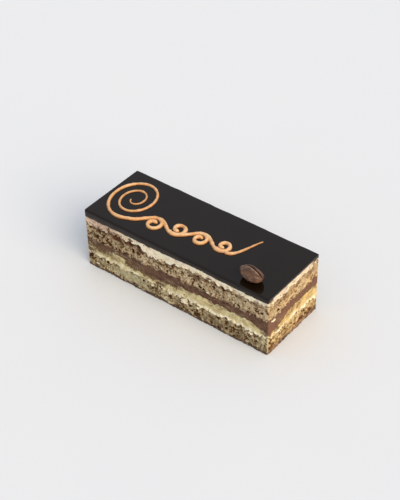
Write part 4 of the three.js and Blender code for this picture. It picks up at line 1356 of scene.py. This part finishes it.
FACE_OUT = {"front": (0, -1), "right": (1, 0), "back": (0, 1), "left": (-1, 0)}
dab_mesh = bmesh.new()
dab_rows = [(face, *dab) for face, dabs_on_face in CREAM_DABS.items() for dab in dabs_on_face]
for index, (face, middle, level, along, up, out) in enumerate(dab_rows):
    ball = bmesh.ops.create_icosphere(dab_mesh, subdivisions=DAB_FINENESS, radius=1.0)["verts"]
    for vertex in ball:
        knob = noise.fractal(vertex.co * 1.4 + Vector((index, 0, 0)), 0.8, 2.0, 3)
        vertex.co *= 1 + DAB_UNEVENNESS * knob
    out_x, out_y = FACE_OUT[face]
    half = HALF_LENGTH if out_x else HALF_WIDTH
    for vertex in ball:
        beside, height, proud = vertex.co * Vector((along, up, out)) + Vector((middle, level, half))
        x = out_x * proud if out_x else beside
        y = out_y * proud if out_y else beside
        vertex.co = Vector((x, y, height)) * MM
bmesh.ops.recalc_face_normals(dab_mesh, faces=dab_mesh.faces)
dab_data = bpy.data.meshes.new("buttercream_dabs")
dab_mesh.to_mesh(dab_data)
dab_mesh.free()
dab_data.shade_smooth()
dabs = add_object("buttercream_dabs", dab_data)
material, tree, shader, place = new_material("buttercream_dab")
colour = blend(tree, fade(tree, grain(tree, place, 0.8, 2.0), 0.35, 0.65), DAB_DEEP, DAB_PALE)
surface(tree, shader, colour, grain(tree, place, 0.5), span=0.2, smoothest=0.42)
bump(tree, shader, grain(tree, place, 0.35, 3.0, 0.6), depth=0.08, strength=0.8)
dab_data.materials.append(material)
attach(dabs, "root")

# ---------- Floor, light and camera ----------
# The slice stands on a pale sweep of paper in a cool white room. A wide, soft, slightly warm light
# comes from the right, and a long lens looks down on the near right-hand corner.
FLOOR_HALF_SIZE = 3.0
FLOOR_DROP = 0.02 * MM
PAPER_GREY, PAPER_PALE = (0.811, 0.834, 0.857), (0.831, 0.849, 0.870)
ROOM_WHITE = (0.585, 0.625, 0.69, 1.0)
floor_mesh = bpy.data.meshes.new("floor")
floor_mesh.from_pydata([(x * FLOOR_HALF_SIZE, y * FLOOR_HALF_SIZE, -FLOOR_DROP) for x, y in CORNERS],
                       [], [(0, 1, 2, 3)])
floor = add_object("floor", floor_mesh)
material, tree, shader, place = new_material("pale_paper")
colour = blend(tree, grain(tree, place, 60.0, 2.0), PAPER_GREY, PAPER_PALE)
tree.links.new(colour, shader.inputs["Base Color"])
shader.inputs["Roughness"].default_value = 0.9
shader.inputs["Specular IOR Level"].default_value = 0.1
floor_mesh.materials.append(material)

world = bpy.data.worlds.new("room")
world.use_nodes = True
world.node_tree.nodes["Background"].inputs["Color"].default_value = ROOM_WHITE
world.node_tree.nodes["Background"].inputs["Strength"].default_value = 1.0
bpy.context.scene.world = world


def sun_lamp(name, azimuth, elevation, strength, colour, spread):
    """A wide soft light. azimuth goes round from +X towards +Y, in degrees."""
    lamp = bpy.data.lights.new(name, "SUN")
    lamp.energy = strength * math.pi
    lamp.color = colour
    lamp.angle = math.radians(spread)
    piece = add_object(name, lamp)
    a, e = math.radians(azimuth), math.radians(elevation)
    towards = Vector((math.cos(a) * math.cos(e), math.sin(a) * math.cos(e), math.sin(e)))
    piece.rotation_mode = "QUATERNION"
    piece.rotation_quaternion = towards.to_track_quat("Z", "Y")


sun_lamp("window_light", azimuth=-15, elevation=35, strength=0.77, colour=(1.0, 0.86, 0.68), spread=50)

# Warm light comes up from the table at the right, and fades towards the top of the slice.
GLOW_LENGTH, GLOW_WIDTH = 34.0, 44.0
GLOW_RADIANCE = 0.62
glow_lamp = bpy.data.lights.new("table_glow", "AREA")
glow_lamp.shape = "RECTANGLE"
glow_lamp.size, glow_lamp.size_y = GLOW_LENGTH * MM, GLOW_WIDTH * MM
glow_lamp.energy = GLOW_RADIANCE * math.pi * GLOW_LENGTH * GLOW_WIDTH * MM**2
glow_lamp.color = (1.0, 0.52, 0.06)
glow = add_object("table_glow", glow_lamp)
glow.location = ((HALF_LENGTH + GLOW_LENGTH / 2 + 1) * MM, 0, 0.5 * MM)
glow.rotation_euler = (math.pi, 0, 0)
glow.visible_camera = False
glow.visible_glossy = False

CAMERA_AZIMUTH, CAMERA_ELEVATION, CAMERA_ROLL = (math.radians(a) for a in (38.68, 39.88, -1.26))
CAMERA_DISTANCE = 0.56019
AIM_RIGHT, AIM_UP = 0.0000871, -0.015652
CAMERA_LENS = 90.12
back = Vector((
    math.sin(CAMERA_AZIMUTH) * math.cos(CAMERA_ELEVATION),
    -math.cos(CAMERA_AZIMUTH) * math.cos(CAMERA_ELEVATION),
    math.sin(CAMERA_ELEVATION),
))
level_right = Vector((0, 0, 1)).cross(back).normalized()
level_up = back.cross(level_right)
right = level_right * math.cos(CAMERA_ROLL) + level_up * math.sin(CAMERA_ROLL)
up = level_up * math.cos(CAMERA_ROLL) - level_right * math.sin(CAMERA_ROLL)
eye = back * CAMERA_DISTANCE - right * AIM_RIGHT - up * AIM_UP
lens = bpy.data.cameras.new("camera")
lens.lens = CAMERA_LENS
lens.clip_start, lens.clip_end = 0.01, 20.0
camera = add_object("camera", lens)
camera.matrix_world = Matrix((
    (right.x, up.x, back.x, eye.x), (right.y, up.y, back.y, eye.y),
    (right.z, up.z, back.z, eye.z), (0, 0, 0, 1),
))
bpy.context.scene.camera = camera
bpy.context.scene.view_settings.view_transform = "Standard"
